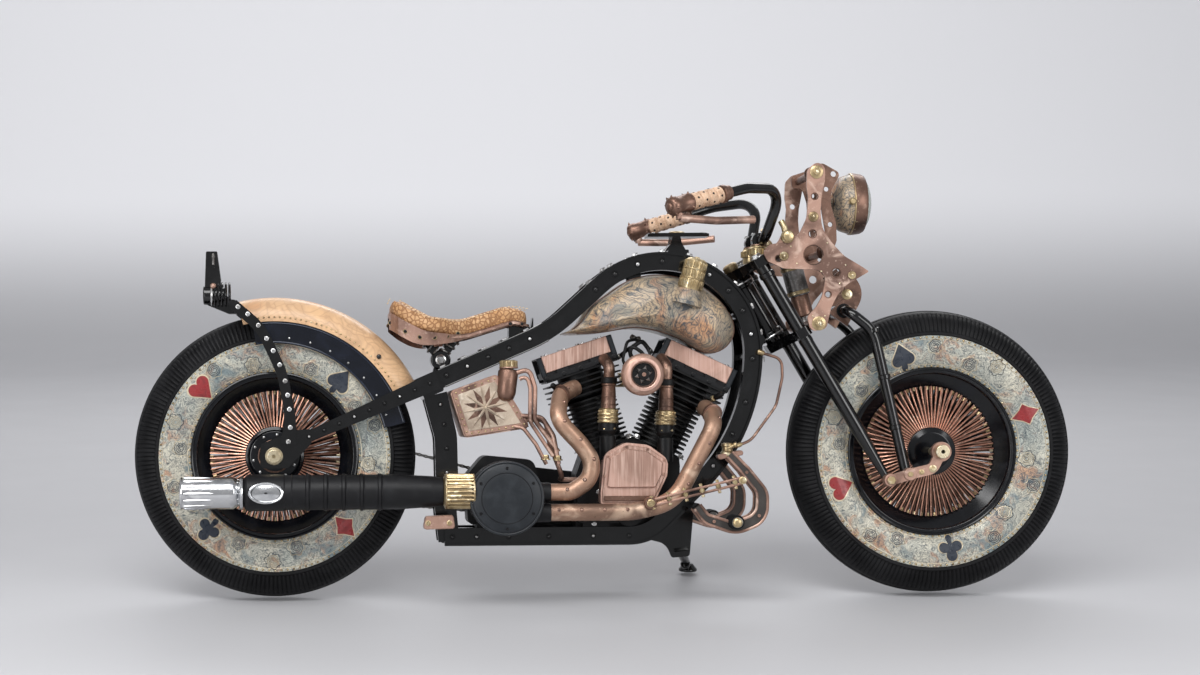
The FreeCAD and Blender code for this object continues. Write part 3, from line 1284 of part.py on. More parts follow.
for name, spot in (("rear axle", REAR_CENTRE), ("front axle", FRONT_CENTRE), ("steering", HEAD_FOOT),
    ("stand", STAND_PIVOT),
                   ("stand foot", STAND_FOOT)):
    print(name, [round(v, 2) for v in SET_DOWN.multVec(spot)])
for name, way in (("across", LEFT), ("steering up", STEER_UP), ("stand axis", STAND_AXIS)):
    print(name, [round(v, 5) for v in SET_DOWN.Rotation.multVec(way)])
print("stand swing", round(STAND_SWING, 1))
print("overall", [round(v, 1) for v in (box.XLength, box.YLength, box.ZLength, box.ZMin)])
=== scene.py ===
"""Looks of the chopper motorcycle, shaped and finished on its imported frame."""

import logging
import math
from collections.abc import Callable, Iterator, Sequence
from dataclasses import dataclass, field
from enum import Enum

import bmesh
import bpy
from mathutils import Matrix, Vector
from mathutils.bvhtree import BVHTree


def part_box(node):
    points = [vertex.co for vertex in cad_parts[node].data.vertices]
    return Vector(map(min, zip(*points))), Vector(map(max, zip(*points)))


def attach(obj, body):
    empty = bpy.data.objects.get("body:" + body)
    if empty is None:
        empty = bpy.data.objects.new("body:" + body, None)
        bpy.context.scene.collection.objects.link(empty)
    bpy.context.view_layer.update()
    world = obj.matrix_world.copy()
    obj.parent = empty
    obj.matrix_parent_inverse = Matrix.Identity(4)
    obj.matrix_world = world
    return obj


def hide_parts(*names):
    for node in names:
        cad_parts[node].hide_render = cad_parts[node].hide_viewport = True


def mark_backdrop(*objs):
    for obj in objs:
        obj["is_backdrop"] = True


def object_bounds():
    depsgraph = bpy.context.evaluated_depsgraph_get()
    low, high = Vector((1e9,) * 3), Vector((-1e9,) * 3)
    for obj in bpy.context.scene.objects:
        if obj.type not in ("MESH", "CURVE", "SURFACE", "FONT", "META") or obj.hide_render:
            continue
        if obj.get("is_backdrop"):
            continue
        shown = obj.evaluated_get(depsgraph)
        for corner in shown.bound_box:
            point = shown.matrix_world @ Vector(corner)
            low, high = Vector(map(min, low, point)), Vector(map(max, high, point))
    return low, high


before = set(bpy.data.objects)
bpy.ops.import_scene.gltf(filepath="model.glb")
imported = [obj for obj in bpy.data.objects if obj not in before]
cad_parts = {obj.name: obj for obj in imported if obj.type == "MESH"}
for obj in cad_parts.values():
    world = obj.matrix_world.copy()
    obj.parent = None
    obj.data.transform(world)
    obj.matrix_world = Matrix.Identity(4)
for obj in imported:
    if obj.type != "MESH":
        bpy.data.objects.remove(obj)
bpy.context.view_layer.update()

log = logging.getLogger("chopper")

MM = 0.001
WELD = 0.00001
CREASE = math.radians(35)
LEAN = math.radians(8)
SET_DOWN = Matrix.Translation((0, -0.131257, 0.000762)) @ Matrix.Rotation(-LEAN, 4, "X")
REAR_AXLE = Vector((-821.8, 0, 354))
FRONT_AXLE = Vector((821.8, 0, 354))
ACROSS = Vector((0, 1, 0))
RIGHT = Vector((0, -1, 0))
UP = Vector((0, 0, 1))
AHEAD = Vector((1, 0, 0))
STEER_AHEAD = Vector((0.866, 0, 0.5))
STEER_UP = Vector((-0.5, 0, 0.866))
HEAD_FOOT = Vector((433.5, 0, 640))

Colour = tuple[float, float, float]
Point = Sequence[float]
Outline = list[tuple[float, float]]
Socket = bpy.types.NodeSocket
Feed = Socket | float | tuple


def v(point: Point) -> Vector:
    """The first three numbers of a point as a vector."""
    return Vector(point[:3])


def fixed(*numbers: float) -> Vector:
    """A dataclass field that starts as a vector of its own."""
    return field(default_factory=lambda: Vector(numbers))


class Graph:
    """A node tree being wired."""

    def __init__(self, tree: bpy.types.NodeTree) -> None:
        """Keeps the tree."""
        self.tree = tree

    def put(self, kind: str, feeds: dict | None = None, **settings: object) -> bpy.types.Node:
        """Adds a node.

        Args:
            kind: the node's type without the word ShaderNode.
            feeds: what goes into each input, a socket or a value.
            settings: the node's own options.

        Returns:
            The node.
        """
        node = self.tree.nodes.new("ShaderNode" + kind)
        for name, value in settings.items():
            setattr(node, name, value)
        for name, value in (feeds or {}).items():
            if isinstance(value, bpy.types.NodeSocket):
                self.tree.links.new(value, node.inputs[name])
            else:
                node.inputs[name].default_value = value
        return node

    def math(self, operation: str, *values: Feed) -> Socket:
        """One arithmetic step on sockets or numbers."""
        return self.put("Math", dict(enumerate(values)), operation=operation).outputs[0]

    def times(self, first: Feed, second: Feed) -> Socket:
        """A product of sockets or numbers."""
        return self.math("MULTIPLY", first, second)

    def mix(self, share: Feed, first: Feed, second: Feed) -> Socket:
        """Two colours mixed by a share."""
        return self.put("Mix", {0: share, 6: first, 7: second}, data_type="RGBA").outputs[2]

    def ramp(self, value: Feed, low: float, high: float) -> Socket:
        """A value stretched from low to high onto 0 to 1, smoothly."""
        feeds = {0: value, 1: low, 2: high}
        return self.put("MapRange", feeds, interpolation_type="SMOOTHSTEP").outputs[0]

    def noise(self, vector: Feed, scale: Feed, detail: float = 3, twist: float = 0) -> Socket:
        """Cloudy noise."""
        feeds = {"Vector": vector, "Scale": scale, "Detail": detail, "Distortion": twist}
        return self.put("TexNoise", feeds).outputs["Fac"]

    def cloud(self, at: Feed, scale: Feed, share: float, detail: float = 3, twist: float = 0) -> Socket:
        """Cloudy noise at a share of the scale."""
        return self.noise(at, self.times(scale, share), detail, twist)

    def scaled(self, vector: Feed, by: Point) -> Socket:
        """A place stretched along each axis."""
        return self.put("VectorMath", {0: vector, 1: by}, operation="MULTIPLY").outputs[0]

    def cells(self, vector: Feed, scale: Feed, output: str = "Distance", **settings: object) -> Socket:
        """Cells scattered in space: how far their middles or edges are, or a colour for each."""
        return self.put("TexVoronoi", {"Vector": vector, "Scale": scale}, **settings).outputs[output]


Pattern = tuple[Socket, Socket, Socket]


def patina(g: Graph, at: Feed, scale: Feed, light: Feed, dark: Feed, accent: Feed) -> Pattern:
    """Aged metal: clouded tarnish, small dark pits and rubbed spots."""
    cloud = g.cloud(at, scale, 0.22, 6, 0.6)
    fine = g.cloud(at, scale, 3.0, 4)
    pits = g.ramp(g.cloud(at, scale, 9.0, 2), 0.66, 0.74)
    base = g.mix(g.times(g.ramp(cloud, 0.42, 0.66), 0.9), light, dark)
    worn = g.ramp(g.cloud(at, scale, 0.5, 5, 1.0), 0.54, 0.7)
    rubbed = g.mix(g.times(g.math("MAXIMUM", worn, g.ramp(fine, 0.58, 0.8)), 0.8), base, accent)
    colour = g.mix(g.times(pits, 0.7), rubbed, dark)
    shine = g.math("ADD", g.times(cloud, 0.6), g.times(fine, 0.4))
    height = g.math("SUBTRACT", fine, g.times(pits, 0.8))
    return colour, shine, height


def brushed(g: Graph, at: Feed, scale: Feed, light: Feed, dark: Feed, accent: Feed) -> Pattern:
    """Metal rubbed up and down, with clouded tarnish under the streaks."""
    long = g.scaled(at, (9.0, 9.0, 0.35))
    streak = g.noise(long, scale, 5, 0.2)
    cloud = g.cloud(at, scale, 0.3, 5, 0.8)
    base = g.mix(g.ramp(cloud, 0.34, 0.66), light, dark)
    colour = g.mix(g.times(g.ramp(streak, 0.4, 0.75), 0.6), base, accent)
    return colour, streak, streak


def paint(g: Graph, at: Feed, scale: Feed, light: Feed, dark: Feed, accent: Feed) -> Pattern:
    """Sprayed paint: faint peel, dust and a few fine scratches."""
    peel = g.cloud(at, scale, 6.0, 2)
    dust = g.noise(at, scale, 6, 0.5)
    long = g.scaled(at, (1.0, 1.0, 14.0))
    scratch = g.ramp(g.cloud(long, scale, 1.4, 7, 2.5), 0.7, 0.74)
    base = g.mix(g.ramp(dust, 0.45, 0.8), light, dark)
    colour = g.mix(g.times(scratch, 0.25), base, accent)
    shine = g.math("MAXIMUM", dust, scratch)
    return colour, shine, g.math("SUBTRACT", peel, g.times(scratch, 0.6))


def rubber(g: Graph, at: Feed, scale: Feed, light: Feed, dark: Feed, accent: Feed) -> Pattern:
    """Moulded rubber: fine grain with a dusty bloom."""
    bloom = g.cloud(at, scale, 0.2, 5, 0.7)
    grain = g.cloud(at, scale, 7.0, 3)
    base = g.mix(g.ramp(bloom, 0.4, 0.72), light, dark)
    colour = g.mix(g.times(g.ramp(grain, 0.6, 0.8), 0.4), base, accent)
    return colour, bloom, grain


def leather(g: Graph, at: Feed, scale: Feed, light: Feed, dark: Feed, accent: Feed) -> Pattern:
    """Hide with round pores, creases and darker worn spots."""
    pores = g.cells(at, g.times(scale, 6.0))
    cloud = g.cloud(at, scale, 0.4, 6, 1.0)
    base = g.mix(g.ramp(cloud, 0.36, 0.68), light, dark)
    colour = g.mix(g.times(g.ramp(pores, 0.45, 0.8), 0.5), base, accent)
    return colour, cloud, pores


def scales(g: Graph, at: Feed, scale: Feed, light: Feed, dark: Feed, accent: Feed) -> Pattern:
    """Scaly hide: small plates with dark seams between them."""
    warp = g.put("TexNoise", {"Vector": at, "Scale": 12.0}).outputs["Color"]
    bent = g.put("VectorMath", {0: warp, 1: (0.02, 0.02, 0.02), 2: at}, operation="MULTIPLY_ADD").outputs[0]
    edge = g.cells(bent, scale, feature="DISTANCE_TO_EDGE")
    plate = g.ramp(edge, 0.0, 0.22)
    cell = g.cells(bent, scale, "Color")
    tone = g.put("SeparateColor", {0: cell}).outputs[0]
    cloud = g.noise(at, 9.0, 5, 0.8)
    worn = g.mix(g.ramp(cloud, 0.4, 0.66), light, accent)
    toned = g.mix(g.times(tone, 0.35), worn, dark)
    return g.mix(plate, dark, toned), g.math("SUBTRACT", 1.0, plate), plate


def ink(g: Graph, at: Feed, scale: Feed, light: Feed, dark: Feed, accent: Feed) -> Pattern:
    """A drawing of curls, feathers and rosettes on pale hide, with washed and tinted fields."""
    warp = g.put("TexNoise", {"Vector": at, "Scale": g.times(scale, 0.9), "Detail": 4.0}).outputs["Color"]
    bent = g.put("VectorMath", {0: warp, 1: (0.09, 0.09, 0.09), 2: at}, operation="MULTIPLY_ADD").outputs[0]
    cell = g.put("TexVoronoi", {"Vector": bent, "Scale": scale})
    tone = g.put("SeparateColor", {0: cell.outputs["Color"]})
    spin = g.put("VectorRotate", {0: bent, 3: g.times(tone.outputs[0], 6.28), 2: (0.0, 1.0, 0.0)})
    slant = g.put("SeparateXYZ", {0: spin.outputs[0]}).outputs[0]
    sway = g.times(g.cloud(bent, scale, 1.6, 2), 4.0)
    hatch = g.math("SINE", g.times(slant, g.times(scale, 34.0)))
    rings = g.math("SINE", g.math("ADD", g.times(cell.outputs["Distance"], 26.0), sway))
    curl = g.math("PINGPONG", g.times(g.cloud(bent, scale, 0.75, 2, 1.6), 10.0), 0.5)
    fine = g.ramp(g.math("ABSOLUTE", g.mix(g.ramp(tone.outputs[1], 0.56, 0.6), hatch, rings)), 0.05, 0.5)
    bold = g.ramp(curl, 0.02, 0.10)
    rim = g.cells(bent, scale, feature="DISTANCE_TO_EDGE")
    bold = g.math("MINIMUM", bold, g.ramp(rim, -0.02, 0.02))
    lines = g.times(bold, g.math("ADD", 0.3, g.times(fine, 0.7)))
    wash = g.ramp(g.cloud(bent, scale, 0.7, 5, 0.6), 0.46, 0.7)
    shade = g.ramp(curl, 0.5, 0.12)
    warm = g.mix(g.ramp(g.cloud(bent, scale, 0.8, 4, 0.9), 0.52, 0.64), light, (0.52, 0.22, 0.085, 1.0))
    aged = g.times(g.ramp(g.cloud(at, scale, 0.3, 5, 0.8), 0.35, 0.7), 0.6)
    hide = g.mix(aged, g.mix(0.7, light, warm), accent)
    tinted = g.mix(g.times(g.ramp(tone.outputs[2], 0.42, 0.6), g.times(wash, 0.9)), hide, accent)
    shaded = g.mix(g.times(g.math("MAXIMUM", wash, shade), 0.42), tinted, dark)
    inked = g.mix(g.times(g.math("SUBTRACT", 1.0, lines), 0.85), shaded, dark)
    grain = g.cells(at, g.times(scale, 16.0))
    return inked, wash, g.math("ADD", g.times(grain, 0.4), lines)


class Effect(Enum):
    """How a surface varies."""

    PATINA = "patina"
    BRUSHED = "brushed"
    PAINT = "paint"
    RUBBER = "rubber"
    LEATHER = "leather"
    SCALES = "scales"
    INK = "ink"


PATTERNS: dict[Effect, Callable[..., Pattern]] = {
    Effect(pattern.__name__): pattern for pattern in (patina, brushed, paint, rubber, leather, scales, ink)
}


def effect_group(effect: Effect) -> bpy.types.NodeTree:
    """The shader node group of an effect, made once."""
    name = "effect_" + effect.value
    if name in bpy.data.node_groups:
        return bpy.data.node_groups[name]
    tree = bpy.data.node_groups.new(name, "ShaderNodeTree")
    taken = {"Vector": "Vector", "Scale": "Float", "Light": "Color", "Dark": "Color", "Accent": "Color"}
    given = {"Color": "Color", "Shine": "Float", "Height": "Float"}
    for way, sockets in (("INPUT", taken), ("OUTPUT", given)):
        for socket, kind in sockets.items():
            tree.interface.new_socket(name=socket, in_out=way, socket_type="NodeSocket" + kind)
    start = tree.nodes.new("NodeGroupInput")
    end = tree.nodes.new("NodeGroupOutput")
    made = PATTERNS[effect](Graph(tree), *(start.outputs[name] for name in taken))
    for socket, value in zip(end.inputs, made):
        tree.links.new(value, socket)
    return tree


@dataclass(frozen=True)
class Finish:
    """What a surface is made of and how it catches light."""

    slot: str
    effect: Effect
    light: Colour
    dark: Colour
    accent: Colour
    metallic: float = 0.0
    smooth: float = 0.3
    rough: float = 0.5
    scale: float = 30.0
    relief: float = 0.3
    depth: float = 0.0006
    coat: float = 0.0
    clear: float = 0.0
    specular: float = 0.5

    def material(self, name: str) -> bpy.types.Material:
        """Builds the material.

        Args:
            name: what the material is called.

        Returns:
            The material.
        """
        made = bpy.data.materials.new(name)
        made.use_nodes = True
        made.node_tree.nodes.clear()
        g = Graph(made.node_tree)
        place = g.put("TexCoord").outputs["Object"]
        feeds = {"Vector": place, "Scale": self.scale}
        for socket, colour in (("Light", self.light), ("Dark", self.dark), ("Accent", self.accent)):
            feeds[socket] = (*colour, 1.0)
        group = g.put("Group", feeds, node_tree=effect_group(self.effect))
        rough = g.put("MapRange",
            {0: group.outputs["Shine"], 1: 0.25, 2: 0.75, 3: self.smooth, 4: self.rough})
        bump = g.put("Bump", {"Height": group.outputs["Height"], "Strength": self.relief,
            "Distance": self.depth})
        shader = g.put("BsdfPrincipled", {
            "Base Color": group.outputs["Color"],
            "Roughness": rough.outputs[0],
            "Normal": bump.outputs[0],
            "Metallic": self.metallic,
            "Specular IOR Level": self.specular,
            "Coat Weight": self.coat,
            "Coat Roughness": 0.06,
            "Transmission Weight": self.clear,
            "IOR": 1.45,
        })
        g.put("OutputMaterial", {"Surface": shader.outputs[0]}, is_active_output=True)
        return made


class Paint(Enum):
    """The finishes of the motorcycle."""

    COPPER = Finish("copper", Effect.PATINA, (0.43, 0.265, 0.205), (0.12, 0.070, 0.055),
        (0.64, 0.47, 0.385), 0.72, 0.3, 0.6, 40, 0.35)
    COPPER_PANEL = Finish("copper", Effect.BRUSHED, (0.58, 0.36, 0.29), (0.33, 0.20, 0.155),
        (0.72, 0.53, 0.45), 0.65, 0.34, 0.54, 30, 0.2)
    HEADER = Finish("copper", Effect.PATINA, (0.40, 0.245, 0.17), (0.115, 0.072, 0.054),
        (0.58, 0.42, 0.31), 0.68, 0.32, 0.58, 26, 0.3)
    SPOKE = Finish("spokes", Effect.PATINA, (0.62, 0.33, 0.235), (0.30, 0.14, 0.10), (0.80, 0.56, 0.45),
        0.85, 0.2, 0.4, 90, 0.1)
    BRONZE = Finish("copper", Effect.PATINA, (0.20, 0.115, 0.085), (0.065, 0.040, 0.032),
        (0.38, 0.25, 0.19), 0.8, 0.3, 0.52, 60, 0.25)
    BRASS = Finish("brass", Effect.PATINA, (0.50, 0.385, 0.215), (0.19, 0.135, 0.075), (0.84, 0.75, 0.53),
        0.85, 0.22, 0.48, 80, 0.25)
    PALE_BRASS = Finish("axle_brass", Effect.PATINA, (0.74, 0.64, 0.44), (0.40, 0.32, 0.20),
        (0.92, 0.88, 0.76), 0.9, 0.2, 0.42, 80, 0.15)
    FRAME = Finish("frame_black", Effect.PAINT, (0.0018, 0.0018, 0.002), (0.004, 0.004, 0.0045),
        (0.03, 0.03, 0.03), 0.0, 0.08, 0.2, 26, 0.05, specular=0.7)
    RIM = Finish("rim_black", Effect.PAINT, (0.002, 0.0024, 0.0036), (0.005, 0.006, 0.009),
        (0.05, 0.05, 0.06), 0.0, 0.1, 0.22, 26, 0.05, specular=0.5)
    SATIN = Finish("engine_black", Effect.PAINT, (0.006, 0.006, 0.007), (0.011, 0.0115, 0.013),
        (0.05, 0.05, 0.05), 0.0, 0.38, 0.54, 30, 0.1, specular=0.3)
    SLATE = Finish("engine_black", Effect.PAINT, (0.013, 0.0155, 0.019), (0.022, 0.026, 0.031),
        (0.07, 0.08, 0.09), 0.0, 0.34, 0.5, 30, 0.12, specular=0.35)
    FACE = Finish("frame_black", Effect.PAINT, (0.045, 0.040, 0.037), (0.070, 0.062, 0.056),
        (0.15, 0.13, 0.12), 0.2, 0.38, 0.56, 40, 0.15, specular=0.35)
    ENGINE = Finish("engine_black", Effect.PAINT, (0.0025, 0.0025, 0.003), (0.007, 0.0065, 0.0065),
        (0.04, 0.04, 0.04), 0.0, 0.34, 0.56, 40, 0.12, specular=0.3)
    BOLT = Finish("drive_steel", Effect.PATINA, (0.60, 0.60, 0.60), (0.30, 0.29, 0.28), (0.80, 0.80, 0.80),
        0.95, 0.18, 0.4, 120, 0.1)
    STEEL = Finish("drive_steel", Effect.PATINA, (0.30, 0.285, 0.275), (0.10, 0.095, 0.09),
        (0.54, 0.53, 0.52), 0.95, 0.26, 0.5, 80, 0.15)
    CHROME = Finish("tip_chrome", Effect.PATINA, (0.66, 0.67, 0.68), (0.40, 0.41, 0.43),
        (0.80, 0.80, 0.80), 1.0, 0.1, 0.28, 70, 0.05)
    TYRE = Finish("tyre", Effect.RUBBER, (0.004, 0.004, 0.0046), (0.010, 0.010, 0.011),
        (0.03, 0.03, 0.032), 0.0, 0.42, 0.62, 60, 0.2, specular=0.2)
    BAND = Finish("tyre", Effect.INK, (0.60, 0.56, 0.45), (0.050, 0.066, 0.080), (0.23, 0.30, 0.31), 0.1,
        0.32, 0.5, 24, 0.35)
    BLUE = Finish("valance_blue", Effect.PAINT, (0.0022, 0.0034, 0.0075), (0.005, 0.0075, 0.017),
        (0.06, 0.08, 0.12), 0.0, 0.1, 0.24, 20, 0.05, specular=0.6)
    BLUE_TRIM = Finish("valance_blue", Effect.PAINT, (0.010, 0.015, 0.030), (0.02, 0.028, 0.05),
        (0.12, 0.16, 0.22), 0.2, 0.14, 0.3, 40, 0.06)
    HIDE = Finish("crown_leather", Effect.INK, (0.56, 0.40, 0.245), (0.036, 0.052, 0.066),
        (0.135, 0.185, 0.19), 0.0, 0.34, 0.54, 14, 0.35, coat=0.15, specular=0.35)
    CROWN = Finish("crown_leather", Effect.INK, (0.64, 0.40, 0.215), (0.44, 0.275, 0.16),
        (0.55, 0.38, 0.245), 0.0, 0.34, 0.52, 8, 0.2, coat=0.15, specular=0.35)
    SEAT = Finish("seat_leather", Effect.SCALES, (0.50, 0.27, 0.12), (0.24, 0.115, 0.05),
        (0.62, 0.38, 0.20), 0.0, 0.4, 0.62, 95, 0.5, 0.0010, specular=0.3)
    STITCH = Finish("seat_leather", Effect.LEATHER, (0.72, 0.52, 0.30), (0.46, 0.31, 0.16),
        (0.82, 0.66, 0.44), 0.0, 0.5, 0.7, 200, 0.4)
    GRIP = Finish("grip_leather", Effect.LEATHER, (0.64, 0.43, 0.29), (0.34, 0.19, 0.11),
        (0.76, 0.58, 0.43), 0.0, 0.42, 0.64, 70, 0.5)
    RED = Finish("tyre", Effect.PAINT, (0.25, 0.028, 0.030), (0.13, 0.016, 0.018), (0.42, 0.13, 0.12), 0.0,
        0.2, 0.4, 60, 0.1, specular=0.5)
    DARK = Finish("tyre", Effect.PAINT, (0.022, 0.028, 0.040), (0.04, 0.048, 0.062), (0.12, 0.13, 0.14),
        0.0, 0.2, 0.4, 60, 0.1, specular=0.5)
    RIM_LINE = Finish("tyre", Effect.PATINA, (0.58, 0.50, 0.36), (0.36, 0.29, 0.19), (0.74, 0.67, 0.52),
        0.5, 0.3, 0.5, 80, 0.1)
    LENS = Finish("lens_glass", Effect.PAINT, (0.80, 0.86, 0.80), (0.72, 0.79, 0.74), (0.92, 0.94, 0.90),
        0.0, 0.05, 0.16, 40, 0.05, clear=0.55)
    LAMP_RED = Finish("lens_glass", Effect.PAINT, (0.30, 0.015, 0.012), (0.20, 0.010, 0.008),
        (0.42, 0.06, 0.04), 0.0, 0.06, 0.16, 40, 0.05, clear=0.3)
    STONE = Finish("copper", Effect.PATINA, (0.50, 0.41, 0.32), (0.26, 0.20, 0.15), (0.66, 0.58, 0.48),
        0.3, 0.4, 0.6, 70, 0.3)

    def made(self) -> bpy.types.Material:
        """This finish's material, built at its first use."""
        name = "paint_" + self.name.lower()
        return bpy.data.materials.get(name) or self.value.material(name)


def turned_to(axis: Point, at: Point) -> Matrix:
    """A place whose Z runs along the axis."""
    return Matrix.Translation(v(at)) @ v(axis).to_track_quat("Z", "Y").to_matrix().to_4x4()


def square_to(axis: Vector) -> tuple[Vector, Vector]:
    """Two directions square to an axis and to each other."""
    one = axis.normalized().orthogonal().normalized()
    return one, axis.normalized().cross(one)


def ahead_turned(angle: float) -> Vector:
    """Straight ahead turned upwards by an angle in radians."""
    return Vector((math.cos(angle), 0, math.sin(angle)))


def bent(points: Sequence[Point], step: float = 7) -> list[Vector]:
    """A line whose corners are rounded.

    Args:
        points: the corners, where a fourth number is the corner's radius.
        step: the spacing along a rounded corner.

    Returns:
        The points of the line.
    """
    line = [v(points[0])]
    for before, corner, after in zip(points, points[1:], points[2:]):
        radius = corner[3] if len(corner) > 3 else 0
        here = v(corner)
        back, on = (v(before) - here).normalized(), (v(after) - here).normalized()
        half = back.angle(on) / 2
        if radius == 0 or half > math.radians(89.5):
            line.append(here)
            continue
        reach = radius / math.tan(half)
        centre = here + (back + on).normalized() * radius / math.sin(half)
        first, last = here + back * reach - centre, here + on * reach - centre
        turn = first.angle(last)
        count = max(2, round(radius * turn / step))
        for i in range(count + 1):
            t = i / count
            swing = first * math.sin((1 - t) * turn) + last * math.sin(t * turn)
            line.append(centre + swing / math.sin(turn))
    line.append(v(points[-1]))
    return line


def walk(line: Sequence[Vector], pitch: float, start: float = 0) -> Iterator[tuple[Vector, Vector]]:
    """Evenly spaced places on a line, each with the line's direction."""
    due, gone = start, 0.0
    for a, b in zip(line, line[1:]):
        length = (b - a).length
        while length and due <= gone + length:
            yield a.lerp(b, (due - gone) / length), (b - a) / length
            due += pitch
        gone += length


def circle(radius: float, count: int, start: float = 0) -> Outline:
    """Points round a circle."""
    turn = 2 * math.pi / count
    return [(radius * math.cos(start + i * turn), radius * math.sin(start + i * turn)) for i in range(count)]


def block(middle: float, half: float, low: float, high: float) -> Outline:
    """The corners of a rectangle."""
    return [(middle - half, low), (middle + half, low), (middle + half, high), (middle - half, high)]


def shrunk(outline: Sequence[Point], by: float) -> Outline:
    """An outline moved inwards by a distance."""
    area = sum(a[0] * b[1] - b[0] * a[1] for a, b in zip(outline, [*outline[1:], outline[0]]))
    side = 1 if area > 0 else -1
    moved = []
    for i, here in enumerate(outline):
        before, after = Vector(outline[i - 1]), Vector(outline[(i + 1) % len(outline)])
        one, two = (Vector(here) - before).normalized(), (after - Vector(here)).normalized()
        normal = Vector((-one.y - two.y, one.x + two.x)).normalized()
        stretch = max(0.4, normal.dot(Vector((-one.y, one.x))))
        spot = Vector(here) + normal * side * by / stretch
        moved.append((spot.x, spot.y))
    return moved


def round_corners(points: Sequence[Point], step: float = 5) -> Outline:
    """A closed outline whose corners are rounded by their third number."""
    spots = [(p[0], p[1], 0, p[2] if len(p) > 2 else 0) for p in points]
    made: Outline = []
    for i in range(len(spots)):
        piece = bent([spots[i - 1], spots[i], spots[(i + 1) % len(spots)]], step)
        made.extend((p.x, p.y) for p in piece[1:-1])
    return made


class Shape:
    """A mesh built from turned, swept and cut pieces, in upright millimetres."""

    def __init__(self) -> None:
        """Starts empty."""
        self.points: list[Vector] = []
        self.faces: list[tuple[int, ...]] = []

    def skin(
        self,
        rows: Sequence[Sequence[Vector]],
        round_rows: bool = True,
        closed: bool = False,
        caps: bool = True,
    ) -> None:
        """Joins rows of points by quads.

        Args:
            rows: the rows, all as long.
            round_rows: whether each row is a ring.
            closed: whether the last row joins the first.
            caps: whether the end rings are filled.
        """
        base, wide = len(self.points), len(rows[0])
        for row in rows:
            self.points.extend(row)
        for i in range(len(rows) - (0 if closed else 1)):
            here, there = base + i * wide, base + (i + 1) % len(rows) * wide
            for j in range(wide - (0 if round_rows else 1)):
                m = (j + 1) % wide
                self.faces.append((here + j, here + m, there + m, there + j))
        if caps and round_rows and not closed:
            self.faces.append(tuple(base + j for j in range(wide)))
            last = base + (len(rows) - 1) * wide
            self.faces.append(tuple(last + j for j in range(wide)))

    def lathe(
        self, profile: Sequence[Point], at: Point, axis: Point, count: int = 24, closed: bool = False
    ) -> None:
        """A turned piece.

        Args:
            profile: pairs of radius and height along the axis.
            at: where height 0 is.
            axis: the direction of the axis.
            count: the number of sides.
            closed: whether the profile closes on itself.
        """
        place = turned_to(axis, at)
        rows = [[place @ Vector((x, y, h)) for x, y in circle(max(r, 0.02), count)] for r, h in profile]
        self.skin(rows, closed=closed)

    def torus(
        self, at: Point, axis: Point, radius: float, thick: float, count: int = 40, sides: int = 8
    ) -> None:
        """A round ring."""
        self.lathe([(radius + x, h) for x, h in circle(thick, sides)], at, axis, count, closed=True)

    def bar(
        self,
        line: Sequence[Vector],
        radius: float | Sequence[float],
        sides: int = 12,
        closed: bool = False,
        flat: float = 1,
    ) -> None:
        """A bar swept along a line.

        Args:
            line: the centre line.
            radius: one radius, or one for each point.
            sides: the number of sides.
            closed: whether the line is a loop.
            flat: how far the section is squeezed across.
        """
        count = len(line)
        radii = [radius] * count if isinstance(radius, (int, float)) else list(radius)
        heading = (line[1] - line[0]).normalized()
        side = heading.orthogonal() if abs(heading.y) > 0.9 else heading.cross(ACROSS)
        side.normalize()
        rows = []
        for i, spot in enumerate(line):
            ahead = line[(i + 1) % count] if closed or i < count - 1 else spot
            behind = line[i - 1] if closed or i else spot
            heading = (ahead - behind).normalized()
            side = (side - heading * side.dot(heading)).normalized()
            other = heading.cross(side)
            rows.append([spot + side * x + other * y * flat for x, y in circle(radii[i], sides)])
        self.skin(rows, closed=closed)

    def slab(
        self,
        outline: Sequence[Point],
        low: float,
        high: float,
        place: Matrix | None = None,
        edge: float = 0.8,
    ) -> None:
        """A plate with eased edges.

        Args:
            outline: its outline.
            low: one face.
            high: the other face.
            place: where it goes. Without it the outline is x and z, and the faces are at y.
            edge: the width of the eased edge.
        """
        step = edge if high > low else -edge
        levels = [(edge, low), (0, low + step), (0, high - step), (edge, high)]
        rows = []
        for inset, level in levels:
            ring = shrunk(outline, inset) if inset else outline
            if place is None:
                rows.append([Vector((x, level, z)) for x, z in ring])
            else:
                rows.append([place @ Vector((x, y, level)) for x, y in ring])
        self.skin(rows)

    def bolt(self, at: Point, axis: Point, radius: float, height: float = 0, washer: bool = True) -> None:
        """A hexagon head on a washer."""
        tall = height or radius * 0.8
        low = 0.0
        if washer:
            low = 0.22 * radius
            self.lathe([(radius * 1.35, -1), (radius * 1.35, low * 0.7), (radius * 1.25, low)], at, axis, 16)
        head = [(radius, low - 0.5), (radius, low + tall * 0.8), (radius * 0.86, low + tall),
            (radius * 0.5, low + tall)]
        self.lathe(head, at, axis, 6)

    def dome(self, at: Point, axis: Point, radius: float, height: float, count: int = 12) -> None:
        """A rounded rivet or boss."""
        steps = [(radius * math.cos(t), height * math.sin(t)) for t in (0, 0.45, 0.9, 1.25, 1.52)]
        self.lathe([(radius, -1.0), *steps], at, axis, count)

    def screw(self, at: Point, axis: Point, radius: float) -> None:
        """A cheese head with a socket."""
        profile = [(radius, -1), (radius, radius * 0.6), (radius * 0.85, radius * 0.75),
            (radius * 0.5, radius * 0.75), (radius * 0.45, radius * 0.3)]
        self.lathe(profile, at, axis, 14)


